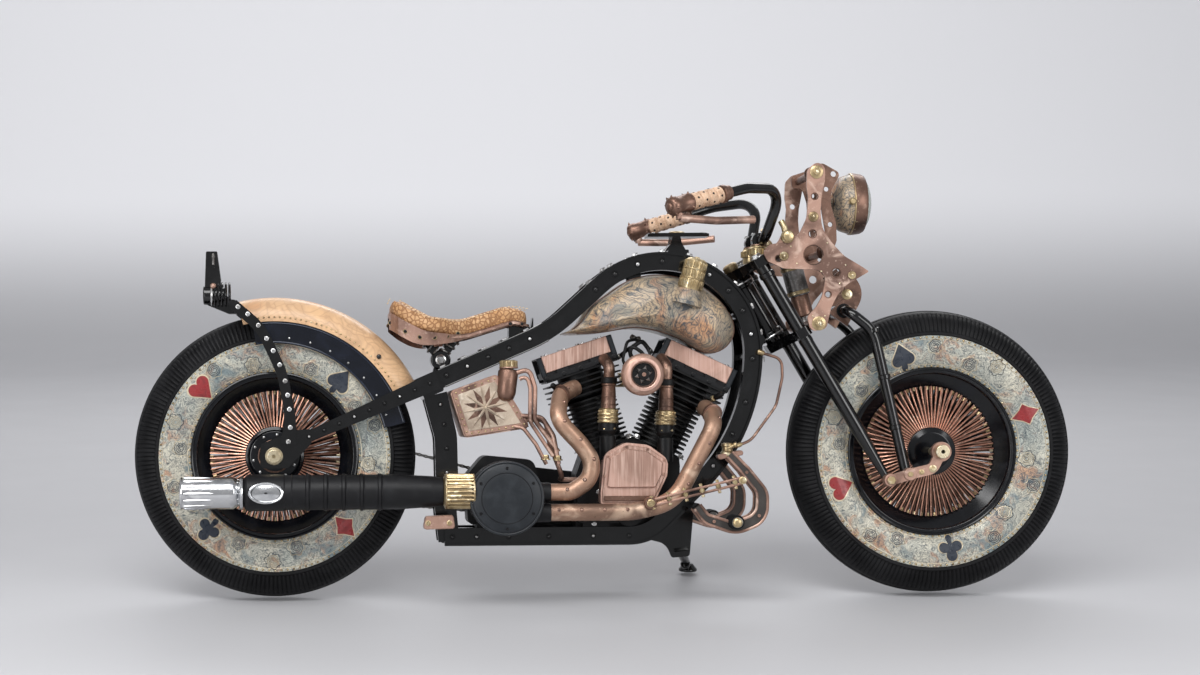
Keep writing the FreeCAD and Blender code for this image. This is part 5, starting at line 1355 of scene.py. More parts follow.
@dataclass
class Engine(Assembly):
    """The V-twin: finned cylinders, rocker boxes, pushrods, cam cover and carburettor."""

    banks: tuple[Bank, Bank] = (Bank(-18), Bank(25.5))
    air: Vector = fixed(76, -236, 547)

    def rocker_box(self, bank: Bank) -> None:
        """Copper cover, black ends and the stepped black base of one rocker box."""
        for side in (-1, 1):
            low, high = side * 58, side * 64
            panel = round_corners([(*p, 2) for p in bank.plate(block(0, 85, 393, 435))])
            self.of(Paint.COPPER_PANEL).slab(panel, low, high, edge=1.4)
            for s in (-92, 92):
                self.of(Paint.SLATE).slab(bank.plate(block(s, 6.5, 384, 434)), low, side * 65.5, edge=2.4)
            right = [(97, 372), (97, 386), (60, 386), (60, 394), (28, 394), (28, 386)]
            base = bank.plate([(-97, 372), *right, *((-s, u) for s, u in reversed(right[1:]))])
            self.of(Paint.SATIN).slab(base, low, side * 68, edge=1.2)
            for s in (-88, -44, 0, 44, 88):
                spot = bank.at(s, side * 68, 379)
                self.of(Paint.SATIN).bolt(spot, ACROSS * side, 4.6, 3)
        place = Matrix.Translation(bank.at(0, 0, 432)) @ Matrix.Rotation(math.radians(bank.tilt), 4, "Y")
        self.of(Paint.COPPER_PANEL).slab(block(0, 85, -62, 62), -1, 3.4, place, 1.4)
        for s in (-91.5, 91.5):
            self.of(Paint.SLATE).slab(block(s, 6.5, -62, 62), -1, 3, place, 1.4)
        for s in (-70, -24, 24, 70):
            for y in (-50, 50):
                self.of(Paint.BOLT).screw(bank.at(s, y, 435), bank.up(), 5)

    def pushrods(self) -> None:
        """Collars, rings and feet of the pushrod covers."""
        for foot, top in (((4, -104, 386), (10, -104, 575)), ((146, -104, 380), (152, -104, 575))):
            a, b = Vector(foot), Vector(top)
            up = (b - a).normalized()
            brass, bronze, black = self.of(Paint.BRASS), self.of(Paint.BRONZE), self.of(Paint.ENGINE)
            brass.lathe([(17, 42), (24, 45), (24, 78), (20, 81)], a, up, 32)
            for h in (48, 57, 66):
                brass.torus(a + up * h, up, 23.6, 3.4, 32)
            for x, y in circle(24, 20):
                brass.dome(a + Vector((x, y, 0)) + up * 74, Vector((x, y, 0)), 2.0, 1.6, 8)
            for x, y in circle(15, 5, 0.4):
                foot_at = a + Vector((x, y, 0)) + up * 42
                brass.bar([foot_at, foot_at + Vector((x, y, 0)) * 0.4 - up * 14], [2.8, 4.2], 8)
            bronze.lathe([(18.5, 80), (17.5, 118), (16, 136), (18, 138), (18, 142), (15, 144)], a, up, 32)
            for h in (90, 110):
                bronze.torus(a + up * h, up, 18, 1.2, 28, 6)
            black.lathe([(18, 142), (20, 144), (20, 156), (17, 158)], a, up, 28)
            bronze.bar(bent([a + up * 154, (*(b - up * 4), 20), b + Vector((-10, 34, 16))]), 14, 20)

    def air_cleaner(self) -> None:
        """The copper ring with a steel star inside, and the rings and rods behind it."""
        at = self.air
        self.of(Paint.ENGINE).lathe([(40, 0), (40, -10), (34, -13), (12, -14)], at + ACROSS * 4, RIGHT, 36)
        radii = [13.5 if i % 2 else 23.4 for i in range(12)]
        star = [(at.x + r * x, at.z + r * z) for r, (x, z) in zip(radii, circle(1, 12, 0.26))]
        self.of(Paint.STEEL).slab(star, at.y + 12, at.y + 2, edge=2.5)
        for x, z in circle(19, 3, 0.5):
            self.of(Paint.ENGINE).dome(at + Vector((x, 2, z)), RIGHT, 3.4, 2.4)
        self.of(Paint.ENGINE).lathe([(14, 0), (13, 3), (9, 4)], at + ACROSS * 2, RIGHT, 28)
        self.of(Paint.COPPER).screw(at + RIGHT * 2, RIGHT, 5)
        ring = [(40, 3), (34, 4), (29, 1), (27, -8), (34, -12)]
        self.of(Paint.COPPER_PANEL).lathe(ring, at, RIGHT, 56, closed=True)
        self.of(Paint.BRONZE).torus(at + RIGHT * 2, RIGHT, 30.5, 1.8, 48, 6)
        self.of(Paint.COPPER).torus(at + ACROSS * 20, ACROSS, 48, 3.4)
        carb = self.of(Paint.BRASS)
        for y in (-128, -150, -172):
            carb.torus((76, y, 547), ACROSS, 26, 3)
        for x, z in ((46, 572), (106, 572), (46, 522), (106, 522)):
            carb.bar([Vector((x, -96, z)), Vector((x, -186, z))], 3.4, 8)

    def cam_cover(self) -> None:
        """The brushed copper cover with a bevelled panel and screws."""
        foot = [(-14, 262, 4), (-14, 235, 3), (106, 235, 6), (116, 249, 4)]
        top = [(141, 301, 10), (144, 338, 14), (98, 370, 16), (46, 376, 16), (-4, 351, 12)]
        self.of(Paint.COPPER_PANEL).slab(round_corners(foot + top), -134, -139, edge=1.8)
        inner = shrunk([(-14, 262), (122, 262), *((x, z) for x, z, _ in top)], 9)
        self.of(Paint.COPPER_PANEL).slab(round_corners([(x, z, 7) for x, z in inner]), -137, -145, edge=2.6)
        self.of(Paint.BRONZE).slab([(-10, 239), (103, 239), (109, 251), (-10, 251)], -138, -143, edge=1.2)
        for x, z in ((-8, 245), (48, 245), (100, 245), (137, 304), (139, 338), (98, 365), (46, 371),
            (0, 348), (-9, 300)):
            self.of(Paint.COPPER).screw((x, -140, z), RIGHT, 3.4)

    def cases(self) -> None:
        """Bolts on the crankcase, the heads and the cylinder feet."""
        case = Cad("crankcase")
        for side in (-1, 1):
            for x, z in circle(92, 14, 0.3):
                self.pin(case, (60 + x, side * 130, 208 + z), (0, -side, 0), Paint.BOLT, Shape.bolt, 4.6, 3)
        for bank in self.banks:
            for s in (-60, 60):
                for y in (-60, 60):
                    self.of(Paint.BOLT).bolt(bank.at(s, y, 176), bank.up(), 7, 8)
            plug = bank.at(math.copysign(70, bank.tilt), -70, 345)
            axis = Vector((math.copysign(0.5, bank.tilt), -0.8, 0.3))
            self.of(Paint.BRASS).lathe([(8, -4), (8, 5), (6, 6), (6, 12)], plug, axis, 6)
            self.of(Paint.ENGINE).lathe([(7, 10), (7.6, 14), (6.6, 34), (4, 38)], plug, axis, 14)

    def hoses(self) -> None:
        """Black hoses and wires between the banks, under the tank."""
        runs = (
            [(76, -70, 580), (60, -84, 612, 14), (96, -70, 636, 16), (120, -40, 610)],
            [(88, -60, 570), (100, -86, 600, 12), (70, -88, 622, 14), (40, -50, 596)],
            [(64, -66, 560), (44, -90, 586, 12), (58, -76, 634, 16), (88, -50, 640)],
            [(92, -74, 560), (116, -92, 584, 12), (108, -80, 620, 14), (76, -50, 644)],
        )
        for i, run in enumerate(runs):
            line = bent(run)
            self.of(Paint.ENGINE).bar(line, 5.5 - 0.8 * i, 10)
            for end, other in ((line[0], line[1]), (line[-1], line[-2])):
                self.of(Paint.STEEL).lathe([(6.6, -5), (6.6, 6), (5.6, 7)], end, other - end, 14)

    def primary(self) -> None:
        """Bolts, ribs and caps on the left side's long cover."""
        cover = Cad("primary_cover")
        for centre, radius, count in ((Vector((-253.8, 0, 249)), 70, 9), (Vector((60, 0, 208)), 74, 10)):
            for x, z in circle(radius, count, 0.3):
                start = (centre.x + x, 220, centre.z + z)
                self.pin(cover, start, RIGHT, Paint.BOLT, Shape.bolt, 4.6, 3)
        for x, z, r in ((-253.8, 249, 46), (60, 208, 50)):
            found = cover.hit((x, 220, z), (0, -1, 0))
            if found:
                cap = [(r, -2), (r, 3), (r - 3, 5), (r - 14, 5), (r - 16, 3)]
                self.of(Paint.COPPER_PANEL).lathe(cap, found[0], ACROSS, 48)
                self.of(Paint.BRASS).bolt(found[0] + ACROSS * 3, ACROSS, 9, 4)
        for i in range(7):
            x = -178 + 26 * i
            found = cover.hit((x, 220, 232), (0, -1, 0))
            if found:
                self.of(Paint.SATIN).bar([found[0] + UP * z for z in (-46, 0, 46)], 4, 8)

    def build(self) -> None:
        """The whole engine."""
        self.hoses()
        self.dress(Paint.ENGINE, "cylinders", "crankcase", "gearbox")
        self.dress(Paint.SATIN, "rocker_boxes", "primary_cover")
        self.dress(Paint.COPPER_PANEL, "cam_cover")
        self.dress(Paint.ENGINE, "pushrod_tubes")
        self.dress(Paint.BRASS, "carburettor")
        self.dress(Paint.COPPER, "air_cleaner")
        for bank in self.banks:
            self.rocker_box(bank)
        self.pushrods()
        self.air_cleaner()
        self.cam_cover()
        self.cases()
        self.primary()


@dataclass
class Exhaust(Assembly):
    """Riveted copper headers, drum cover, clamp, muffler and chrome tip."""

    muffler: Vector = fixed(-407, -172, 266)
    drum_face: Vector = fixed(-254, -204, 249)
    rear_pipe: tuple = ((-70, -66, 520), (-112, -100, 500, 30), (-126, -160, 440, 50),
        (-70, -160, 380, 60), (-20, -160, 310, 55), (-92, -160, 262, 40), (-190, -160, 262))
    front_pipe: tuple = ((250, -60, 470), (262, -110, 452, 24), (257, -160, 420, 40),
        (160, -160, 236, 110), (60, -160, 212, 160), (-190, -160, 212))

    def rivets(self) -> None:
        """Domed rivets along each header, a collar where it starts and a black sleeve where it ends."""
        for pipe in (self.rear_pipe, self.front_pipe):
            line = bent(pipe)
            for spot, way in walk(line, 56, 40):
                if spot.x < -150:
                    break
                side = way.cross(ACROSS).normalized()
                out = RIGHT * 0.94 + side * (0.34 if way.x > -0.6 else -0.34)
                out = (out - way * out.dot(way)).normalized()
                self.of(Paint.BRONZE).dome(spot + out * 20.6, out, 5.2, 1.4, 14)
                self.of(Paint.COPPER).dome(spot + out * 21, out, 3.4, 3.2, 12)
            end = line[-1]
            self.of(Paint.SATIN).lathe([(21, 0), (23.5, 3), (23.5, 42), (22.4, 46), (21, 46)], end, AHEAD, 32)
            self.of(Paint.BRONZE).lathe([(20, -6), (25, -4), (25, 4), (20, 6)],
                line[1] + (line[1] - line[0]) * 0.1, line[0] - line[1], 32)

    def drum(self) -> None:
        """The round cover's slate face, its rim and its screws."""
        at, face = self.drum_face, self.of(Paint.SLATE)
        face.lathe([(84, -2), (84, 2), (80, 4.5), (40, 6.2), (0.02, 6.6)], at, RIGHT, 96)
        face.torus(at + ACROSS * 2, ACROSS, 87.5, 3.6, 84)
        self.of(Paint.SATIN).torus(at + RIGHT * 5, ACROSS, 62, 1.1, 72, 6)
        for x, z in circle(74, 6, 0.52):
            self.of(Paint.SATIN).screw(at + Vector((x, -4.6, z)), RIGHT, 3.6)

    def tail(self) -> None:
        """Clamp flutes, the muffler's collars, its oval window and the tip's flutes."""
        back = -AHEAD
        for x, y in circle(39.5, 24):
            start = self.muffler + Vector((76, x, y))
            self.of(Paint.BRASS).bar([start + back * s for s in (0, 3, 68, 71)], [1.5, 4, 4, 1.5], 8)
        for s in (-74, -6):
            self.of(Paint.BRASS).torus(self.muffler + back * s, AHEAD, 41, 2.6)
        for s in (150, 194, 238, 282, 326, 370):
            self.of(Paint.SATIN).torus(self.muffler + back * s, AHEAD, 42.4, 2.0, 48, 6)
        rows = []
        for share, reach in ((1, 46.5), (0.94, 46), (0.86, 46), (0.4, 46), (0.1, 46)):
            ring = [(40 * x * share, 23 * z * share) for x, z in circle(1, 48)]
            middle = self.muffler + back * 433
            rows.append([middle + Vector((-x, -math.sqrt(reach**2 - z * z), z)) for x, z in ring])
        self.of(Paint.CHROME).bar(rows.pop(0), 3.6, 8, closed=True)
        self.of(Paint.RIM).skin(rows[:2], caps=False)
        self.of(Paint.CHROME).skin(rows[1:], caps=False)
        for x, y in circle(1, 14):
            out = Vector((0, x, y))
            start = self.muffler + back * 500
            line = [start + back * s + out * (33 + 6.5 * s / 140) for s in (0, 12, 70, 124, 134)]
            self.of(Paint.CHROME).bar(line, [0.6, 2.6, 3.6, 3.2, 0.8], 8)
        self.of(Paint.CHROME).torus(self.muffler + back * 493, AHEAD, 37, 5)
        self.of(Paint.CHROME).torus(self.muffler + back * 640, AHEAD, 37, 3)
        hanger = round_corners([(-458, 174, 6), (-452, 206, 6), (-384, 209, 6), (-380, 176, 6)])
        self.of(Paint.COPPER).slab(hanger, -196, -150, edge=2)
        for x in (-446, -394):
            self.of(Paint.BRASS).bolt((x, -196, 190), RIGHT, 5)

    def build(self) -> None:
        """The whole exhaust."""
        self.dress(Paint.HEADER, "exhaust_headers")
        self.dress(Paint.SATIN, "exhaust_drum", "muffler")
        self.dress(Paint.CHROME, "muffler_tip")
        self.dress(Paint.BRASS, "muffler_clamp")
        self.rivets()
        self.drum()
        self.tail()


@dataclass
class OilTank(Assembly):
    """Copper oil tank with a compass star panel, and its pipes."""

    corners: tuple = ((-386, 512), (-268.8, 554), (-186, 420), (-350, 396))

    def star(self, side: int) -> None:
        """The framed star on one face."""
        face = side * 110
        outline = shrunk(list(self.corners), 3)
        inner = shrunk(list(self.corners), 15)
        self.of(Paint.COPPER).slab(outline, face - side, face + side * 2.4, edge=1.2)
        self.of(Paint.STONE).slab(inner, face, face + side * 3.4, edge=1.0)
        cx = sum(x for x, _ in inner) / 4
        cz = sum(z for _, z in inner) / 4
        layers = ((34.5, 58, 24, Paint.BRONZE, 6.5), (12, 62, 14, Paint.STONE, 11.0))
        for degrees, reach, waist, paint, lift in layers:
            rays = circle(1, 16, math.radians(degrees))
            radii = [waist if i % 2 else reach for i in range(16)]
            rows = []
            for share, y in ((1, face + side * 3.2), (0.08, face + side * lift)):
                row = [(cx + r * x * share, cz + r * z * share) for r, (x, z) in zip(radii, rays)]
                rows.append([Vector((x, y, z)) for x, z in row])
            self.of(paint).skin(rows)
        self.of(Paint.BRASS).dome((cx, face + side * 6, cz), (0, side, 0), 6, 5)
        loop = [Vector((x, face + side * 2.4, z)) for x, z in shrunk(list(self.corners), 9)]
        for spot, _ in walk([*loop, loop[0]], 17, 4):
            self.of(Paint.BRASS).dome(spot, (0, side, 0), 2.6, 2, 8)

    def build(self) -> None:
        """Faces, pipes and their nuts."""
        self.dress(Paint.COPPER, "oil_tank", "oil_lines")
        for side in (-1, 1):
            self.star(side)
        pipes = (
            (6, (-236, -100, 452), (-160, -118, 446, 20), (-132, -124, 400, 30), (-120, -126, 330, 20)),
            (5, (-262, -92, 430), (-206, -120, 420, 16), (-176, -126, 380, 24), (-150, -124, 330, 16)),
            (6, (-222, -112, 556), (-190, -114, 566, 16), (-176, -116, 520, 24), (-178, -118, 440, 30),
                (-120, -124, 360)),
            (5, (-214, -118, 540), (-196, -120, 552, 12), (-188, -122, 516, 20), (-190, -124, 436, 30),
                (-134, -128, 350)),
        )
        for radius, *points in pipes:
            self.of(Paint.COPPER).bar(bent(points), radius, 12)
        nuts = (((-236, -100, 452), (1, -0.2, 0)), ((-262, -92, 430), (1, -0.4, 0)),
            ((-122, -126, 340), UP), ((-152, -124, 342), UP))
        for at, axis in nuts:
            self.of(Paint.BRASS).bolt(at, axis, 9, 9)


@dataclass
class FootControls(Assembly):
    """Copper-edged foot loops with pegs, a twin rod linkage and its cable."""

    loop: tuple = ((294.9, 351.7), (330, 314, 46), (374, 258, 40), (372, 196, 44), (306, 170, 60),
        (236, 194, 30), (214, 224))
    cable: tuple = ((384, -86, 604), (436, -106, 586, 26), (436, -112, 540, 60), (418, -122, 470, 60),
        (350, -146, 384, 60), (312, -158, 372))
    peg_at: Point = (306, 186)
    band_ends: float = 9
    band_swell: float = 5

    def band(self, side: int) -> None:
        """The loop's band, its copper edges and its screws."""
        centre = bent([(p[0], side * 150, p[1], *p[2:]) for p in self.loop], 5)
        inner, outer = [], []
        last = len(centre) - 1
        for i, spot in enumerate(centre):
            way = (centre[min(i + 1, last)] - centre[max(i - 1, 0)]).normalized()
            half = way.cross(ACROSS) * (self.band_ends + self.band_swell * math.sin(math.pi * i / last))
            inner.append(spot + half)
            outer.append(spot - half)
        ring = [*inner, *reversed(outer)]
        body, wide = self.of(Paint.FACE), len(ring)
        base = len(body.points)
        body.skin([[Vector((p.x, side * y, p.z)) for p in ring] for y in (131, 133, 167, 169)], caps=False)
        for low in (base, base + 3 * wide):
            for i in range(last):
                body.faces.append((low + i, low + i + 1, low + wide - 2 - i, low + wide - 1 - i))
        for line in (inner, outer):
            for y in (side * 168, side * 132):
                self.of(Paint.COPPER).bar([Vector((p.x, y, p.z)) for p in line], 3.8, 10)
        for spot, _ in walk(centre, 120, 60):
            self.of(Paint.COPPER).screw((spot.x, side * 169, spot.z), ACROSS * side, 4)

    def peg(self, side: int) -> None:
        """The rubber peg, the brass cup on the loop's top, and what holds the loop to the frame."""
        out = ACROSS * side
        x, z = self.peg_at
        self.of(Paint.STEEL).lathe([(13, 0), (13, 74)], (x, side * 130, z), out, 24)
        for i in range(7):
            self.of(Paint.TYRE).torus((x, side * (140 + 9.4 * i), z), ACROSS, 15, 3.4, 24, 6)
        brass = self.of(Paint.BRASS)
        brass.dome((x, side * 203, z), out, 13, 6)
        cup = [(17, -6), (17, 4), (13, 8), (13, 18), (15, 20), (15, 26), (8, 28)]
        brass.lathe(cup, (292, side * 150, 352), UP, 28)
        brass.lathe([(5, 0), (5, 16), (7, 18), (7, 24)], (292, side * 158, 366), (0.8, side * 0.3, 0.4), 14)
        clip = round_corners([(268, 338, 5), (330, 350, 5), (326, 362, 5), (264, 350, 5)])
        self.of(Paint.COPPER).slab(clip, side * 134, side * 166, edge=1.6)
        for (x, z, *_), reach, radius in ((self.loop[0], 140, 12), (self.loop[-1], 150, 9)):
            self.of(Paint.FRAME).bar([Vector((x, side * 72, z)), Vector((x, side * reach, z))], radius, 16)

    def linkage(self) -> None:
        """Two rods with cross pins on the right side, a bolt at each end."""
        start, end = Vector((98, -182, 234)), Vector((322, -182, 288))
        rods, brass = self.of(Paint.COPPER), self.of(Paint.BRASS)
        for lift in (-7, 7):
            rods.bar([start + UP * lift, end + UP * lift], 3.4, 10)
        way = (end - start).normalized()
        tall = way.cross(ACROSS)
        for i in range(6):
            spot = start + way * (4.6 + 41.4 * i)
            rods.bar([spot - tall * 17, spot + tall * 17], 3, 8)
            for up in (-tall, tall):
                brass.lathe([(4.4, 0), (4.4, 5), (3.4, 6)], spot + up * 11, up, 6)
            brass.lathe([(5, -6), (6, -5), (6, 5), (5, 6)], spot, RIGHT, 16)
        self.of(Paint.BRONZE).lathe([(14, -8), (16, -5), (16, 5), (14, 8)], start - RIGHT * 4, RIGHT, 28)
        brass.bolt(start + RIGHT * 4, RIGHT, 7)
        brass.bolt(end + RIGHT * 6, RIGHT, 7)

    def build(self) -> None:
        """Bands and pegs on both sides, the linkage and the cable."""
        for side in (-1, 1):
            self.band(side)
            self.peg(side)
        self.linkage()
        cable = bent(self.cable)
        self.of(Paint.BRONZE).bar(cable, 3.6, 10)
        sleeves = (([(6, 0), (6, 12), (4.4, 16)], -1, -2), ([(7, -2), (7, 10), (5, 14)], 0, 1))
        for profile, end, other in sleeves:
            self.of(Paint.BRASS).lathe(profile, cable[end], cable[other] - cable[end], 14)


@dataclass
class Fork(Assembly):
    """The leading link fork: copper plates, brass bolts, black legs and rockers."""

    plate_bolts: tuple = ((520, 1045, 13), (511, 935, 10), (523, 672, 14), (438, 838, 9), (605, 790, 8))
    link_bolts: tuple = ((608, 747, 11), (589, 717, 12), (560, 706, 11))
    holes: tuple = ((510.7, 841, 23), (508.9, 892.7, 9), (566.5, 796.7, 10), (546.2, 743.1, 7),
        (514.9, 985.2, 7), (424.7, 832.7, 7))
    rivets: tuple = ((472, 905), (470, 820), (455, 862), (545, 870), (530, 800), (575, 770), (590, 815),
        (538, 690), (508, 690))
    half_spread: float = 104

    def plates(self, side: int) -> None:
        """Bolts, hole rings and rivets of the side plate and the linkage on one side."""
        out, brass = ACROSS * side, self.of(Paint.BRASS)
        for x, z, r in self.plate_bolts:
            brass.lathe([(r * 1.25, -1), (r * 1.25, 2), (r * 1.1, 3)], (x, side * 133, z), out, 28)
            brass.bolt((x, side * 135.5, z), out, r * 0.72, r * 0.4, washer=False)
            self.of(Paint.PALE_BRASS).dome((x, side * (136.5 + r * 0.4), z), out, r * 0.36, 2)
        for x, z, r in self.holes:
            self.of(Paint.BRONZE).torus((x, side * 133, z), ACROSS, r + 1.2, 1.3, 32, 6)
        crank, plate = Cad("fork_linkage"), Cad("fork_side_plates")
        for x, z, r in self.link_bolts:
            found = crank.hit((x, side * 124, z), -out)
            if found:
                brass.lathe([(r * 1.2, -1), (r * 1.2, 3), (r, 4)], found[0], out, 24)
                brass.bolt(found[0] + out * 4, out, r * 0.7, 4, washer=False)
        for x, z in self.rivets:
            self.pin(plate, (x, side * 160, z), -out, Paint.PALE_BRASS, Shape.dome, 2.4, 1.6, 10)

    def legs(self, side: int) -> None:
        """The rocker's bolts, the collars of both legs and the brake line's end on one side."""
        out, brass, black = ACROSS * side, self.of(Paint.BRASS), self.of(Paint.FRAME)
        for x, z, r in ((696.5, 284.5, 11), (744, 299, 7), (800, 312, 7), (772, 304, 5)):
            brass.bolt((x, side * 137, z), out, r, r * 0.6)
        for up, size in ((150, 17.4), (-40, 15.4), (-160, 14.2), (-300, 12.6)):
            spot = HEAD_FOOT + STEER_UP * up + STEER_AHEAD * 50 + out * self.half_spread
            black.lathe([(size, -7), (size + 2.4, -5), (size + 2.4, 5), (size, 7)], spot, STEER_UP, 24)
        for x, z in ((664, 655), (690, 540), (716, 415)):
            collar = [(13, -6), (15.4, -4), (15.4, 4), (13, 6)]
            black.lathe(collar, (x, side * self.half_spread, z), (78, 0, -355), 24)
        knob = [(11, -4), (16, 0), (16, 12), (12, 16), (12, 22), (7, 24)]
        brass.lathe(knob, (447, side * 126, 886), out, 28)
        brass.bar(bent([(447, side * 120, 886), (442, side * 118, 912, 8), (436, side * 112, 926)]), 8, 12)

    def build(self) -> None:
        """Both sides, the stem's bolts and the damper."""
        self.dress(Paint.COPPER, "fork_side_plates", "front_rockers")
        self.dress(Paint.FRAME, "fork_legs", "spring_legs")
        self.dress(Paint.STEEL, "fork_damper")
        self.dress(Paint.BRONZE, "fork_linkage", "headlight_bracket")
        self.dress(Paint.PALE_BRASS, "front_axle")
        for side in (-1, 1):
            self.plates(side)
            self.legs(side)
        brass = self.of(Paint.BRASS)
        for up in (198, -6):
            for y in (-self.half_spread, self.half_spread):
                spot = HEAD_FOOT + STEER_UP * up + STEER_AHEAD * 50 + ACROSS * y
                self.of(Paint.BOLT).bolt(spot, STEER_UP, 12, 7)
        cap = [(17, 0), (19, 3), (19, 14), (15, 18), (8, 20)]
        brass.lathe(cap, HEAD_FOOT + STEER_UP * 198, STEER_UP, 28)
        axis, start = Vector((0.254, 0, -0.967)), Vector((478, 0, 845))
        self.of(Paint.STEEL).lathe([(24, 14), (27, 18), (27, 96), (25, 100)], start, axis, 40)
        for along in (30, 92):
            brass.lathe([(27, -5), (29, -4), (29, 4), (27, 5)], start + axis * along, axis, 40)
        self.of(Paint.BRONZE).lathe([(22, 100), (23, 104), (23, 150), (20, 154)], start, axis, 36)


@dataclass
class HeadLamp(Assembly):
    """Round lamp with a drawn bowl, copper rim and domed lens."""

    lamp: Vector = fixed(622, 0, 978)

    def build(self) -> None:
        """The bowl's skin, the rim and the lens."""
        self.dress(Paint.BRONZE, "headlight")
        self.dress(Paint.LENS, "headlight_lens")
        bowl = Cad("headlight")
        axis, side = AHEAD, ACROSS
        up = axis.cross(side)
        rows = []
        stations = [-70 + 4 * i for i in range(20)]
        for s in stations:
            row = []
            for x, y in circle(1, 48):
                out = side * x + up * y
                found = bowl.hit(self.lamp + axis * s + out * 140, -out)
                if found is None:
                    break
                row.append(found[0] + out * 0.7)
            if len(row) == 48 and (row[0] - self.lamp - axis * s).length > 24:
                rows.append(row)
        if len(rows) > 3:
            self.of(Paint.HIDE).skin(rows, caps=False)
        glass = [(66, 38), (63, 44), (52, 51), (34, 57), (14, 60), (0.02, 60.6)]
        self.of(Paint.LENS).lathe(glass, self.lamp, axis, 64)
        rim = self.of(Paint.BRONZE)
        rim.lathe([(74, 8), (77.5, 10), (77.5, 18), (75, 34), (71, 41), (66, 42), (64, 38)], self.lamp,
            axis, 72)
        self.of(Paint.BRASS).torus(self.lamp + axis * 9, axis, 75.6, 2.2, 72)
        for x, y in circle(76.4, 18):
            self.of(Paint.BRASS).dome(self.lamp + axis * 14 + side * x + up * y, side * x + up * y, 1.9,
                1.6, 8)
        for h in (-46, 46):
            self.of(Paint.BRASS).lathe([(9, -3), (9, 6), (6, 9)], self.lamp + ACROSS * h * 1.6, ACROSS * h,
                20)


@dataclass
class Bars(Assembly):
    """Black handlebar with banded grips, levers with holes painted as black dots, and fluted risers."""

    riser_x: float = 392.5

    def side_bar(self, side: int) -> list[Vector]:
        """The tube from the grip to the riser."""
        inner = [(432, side * 150, 1002, 70), (400, side * 86, 884, 40), (394, 0, 884)]
        return bent([(137, side * 340, 943), (330, side * 235, 996, 120), *inner])

    def grip(self, end: Vector, way: Vector) -> None:
        """One grip: ridged bands with dark studs between two collars with spikes."""
        one, two = square_to(way)
        wrap, metal, dark = self.of(Paint.GRIP), self.of(Paint.BRONZE), self.of(Paint.ENGINE)
        for i in range(4):
            low = 50 + 23 * i
            band = [(17.6, low), (20.4, low + 3), (21, low + 10), (20.4, low + 18), (17.6, low + 21)]
            wrap.lathe(band, end, way, 36)
            for x, y in circle(20.8, 6, 0.5 * i):
                out = one * x + two * y
                dark.dome(end + way * (low + 10) + out, out, 3.0, 0.8, 10)
        collar = [(14, -16), (19, -14), (23, -8), (23, 4), (21, 8), (21, 30), (22.6, 34), (22.6, 46),
            (20, 49)]
        metal.lathe(collar, end, way, 40)
        metal.lathe([(19, 142), (22, 144), (22, 152), (18, 156), (15, 158)], end, way, 36)
        for low, count in ((-8, 8), (40, 7)):
            for x, y in circle(22.4, count, 0.3):
                out = one * x + two * y
                metal.lathe([(3.6, -1), (2.6, 2), (0.4, 6)], end + way * low + out, out, 8)
        metal.dome(end - way * 15, -way, 11, 6, 20)
        metal.lathe([(15, 151), (18, 153), (18, 167), (15, 169)], end, way, 28)

    def lever(self, side: int) -> None:
        """One lever with two rows of black dots, painted shade standing for its holes."""
        line = bent([(148, side * 346, 914), (240, side * 312, 910, 90), (338, side * 270, 916)])
        self.of(Paint.COPPER).bar(line, [9.5] * len(line), 12, flat=0.9)
        for spot, _ in walk(line, 17, 14):
            # Black dots are painted shade where the lever has holes.
            self.of(Paint.ENGINE).dome(spot + UP * 6, UP, 3.6, 0.8)
            self.of(Paint.ENGINE).dome(spot + ACROSS * side * 4.4, ACROSS * side, 3.4, 0.8)

    def riser(self, y: float) -> None:
        """Fluted foot, ring, bolts and clamp of one riser."""
        x, brass = self.riser_x, self.of(Paint.BRASS)
        brass.lathe([(20, 0), (25, 2), (25, 18), (22, 21), (16, 22)], (x, y, 846), UP, 40)
        for dx, dy in circle(25, 20):
            brass.bar([Vector((x + dx, y + dy, z)) for z in (849, 863)], 2.4, 6)
        self.of(Paint.BRONZE).torus((x, y, 872), UP, 17, 3)
        for dx in (-12, 12):
            self.of(Paint.BOLT).bolt((x + dx, y, 898), UP, 5)
        self.of(Paint.FRAME).lathe([(17, -12), (19, -10), (19, 10), (17, 12)], (394, y, 884), ACROSS, 28)

    def build(self) -> None:
        """Tube, grips and levers on both sides, and the risers."""
        self.dress(Paint.GRIP, "grips")
        self.dress(Paint.COPPER, "control_levers")
        self.dress(Paint.BRASS, "bar_risers")
        for side in (-1, 1):
            line = self.side_bar(side)
            self.of(Paint.FRAME).bar(line, 13, 20)
            self.grip(line[0], (line[1] - line[0]).normalized())
            self.lever(side)
            self.riser(45 * side)


@dataclass
class Dash(Assembly):
    """The flat plate on its post in front of the rider."""

    def build(self) -> None:
        """Trim and screws."""
        self.dress(Paint.FRAME, "dash_pedestal")
        plate = self.of(Paint.FRAME)
        plate.slab(round_corners([(120, -28, 12), (270, -28, 12), (270, 28, 12), (120, 28, 12)]), 0, 3,
            Matrix.Translation((0, 0, 904)))
        for x in (134, 256):
            for y in (-18, 18):
                self.of(Paint.BOLT).screw((x, y, 906), UP, 4)
        self.of(Paint.BRASS).lathe([(20, 0), (20, 4), (17, 6), (15, 5)], (195, 0, 906), UP, 36)


@dataclass
class Stand(Assembly):
    """The side stand and the collars on its leg."""

    def build(self) -> None:
        """Two collars on the leg."""
        self.dress(Paint.FRAME, "side_stand")
        pivot, foot = Vector((212, 115, 112)), Vector((262, 275, 37.9))
        way = (foot - pivot).normalized()
        self.of(Paint.FRAME).lathe([(13, 18), (15, 20), (15, 30), (13, 32)], pivot, way, 20)
        self.of(Paint.FRAME).lathe([(10, 128), (12.4, 131), (12.4, 138), (10, 141)], pivot, way, 20)


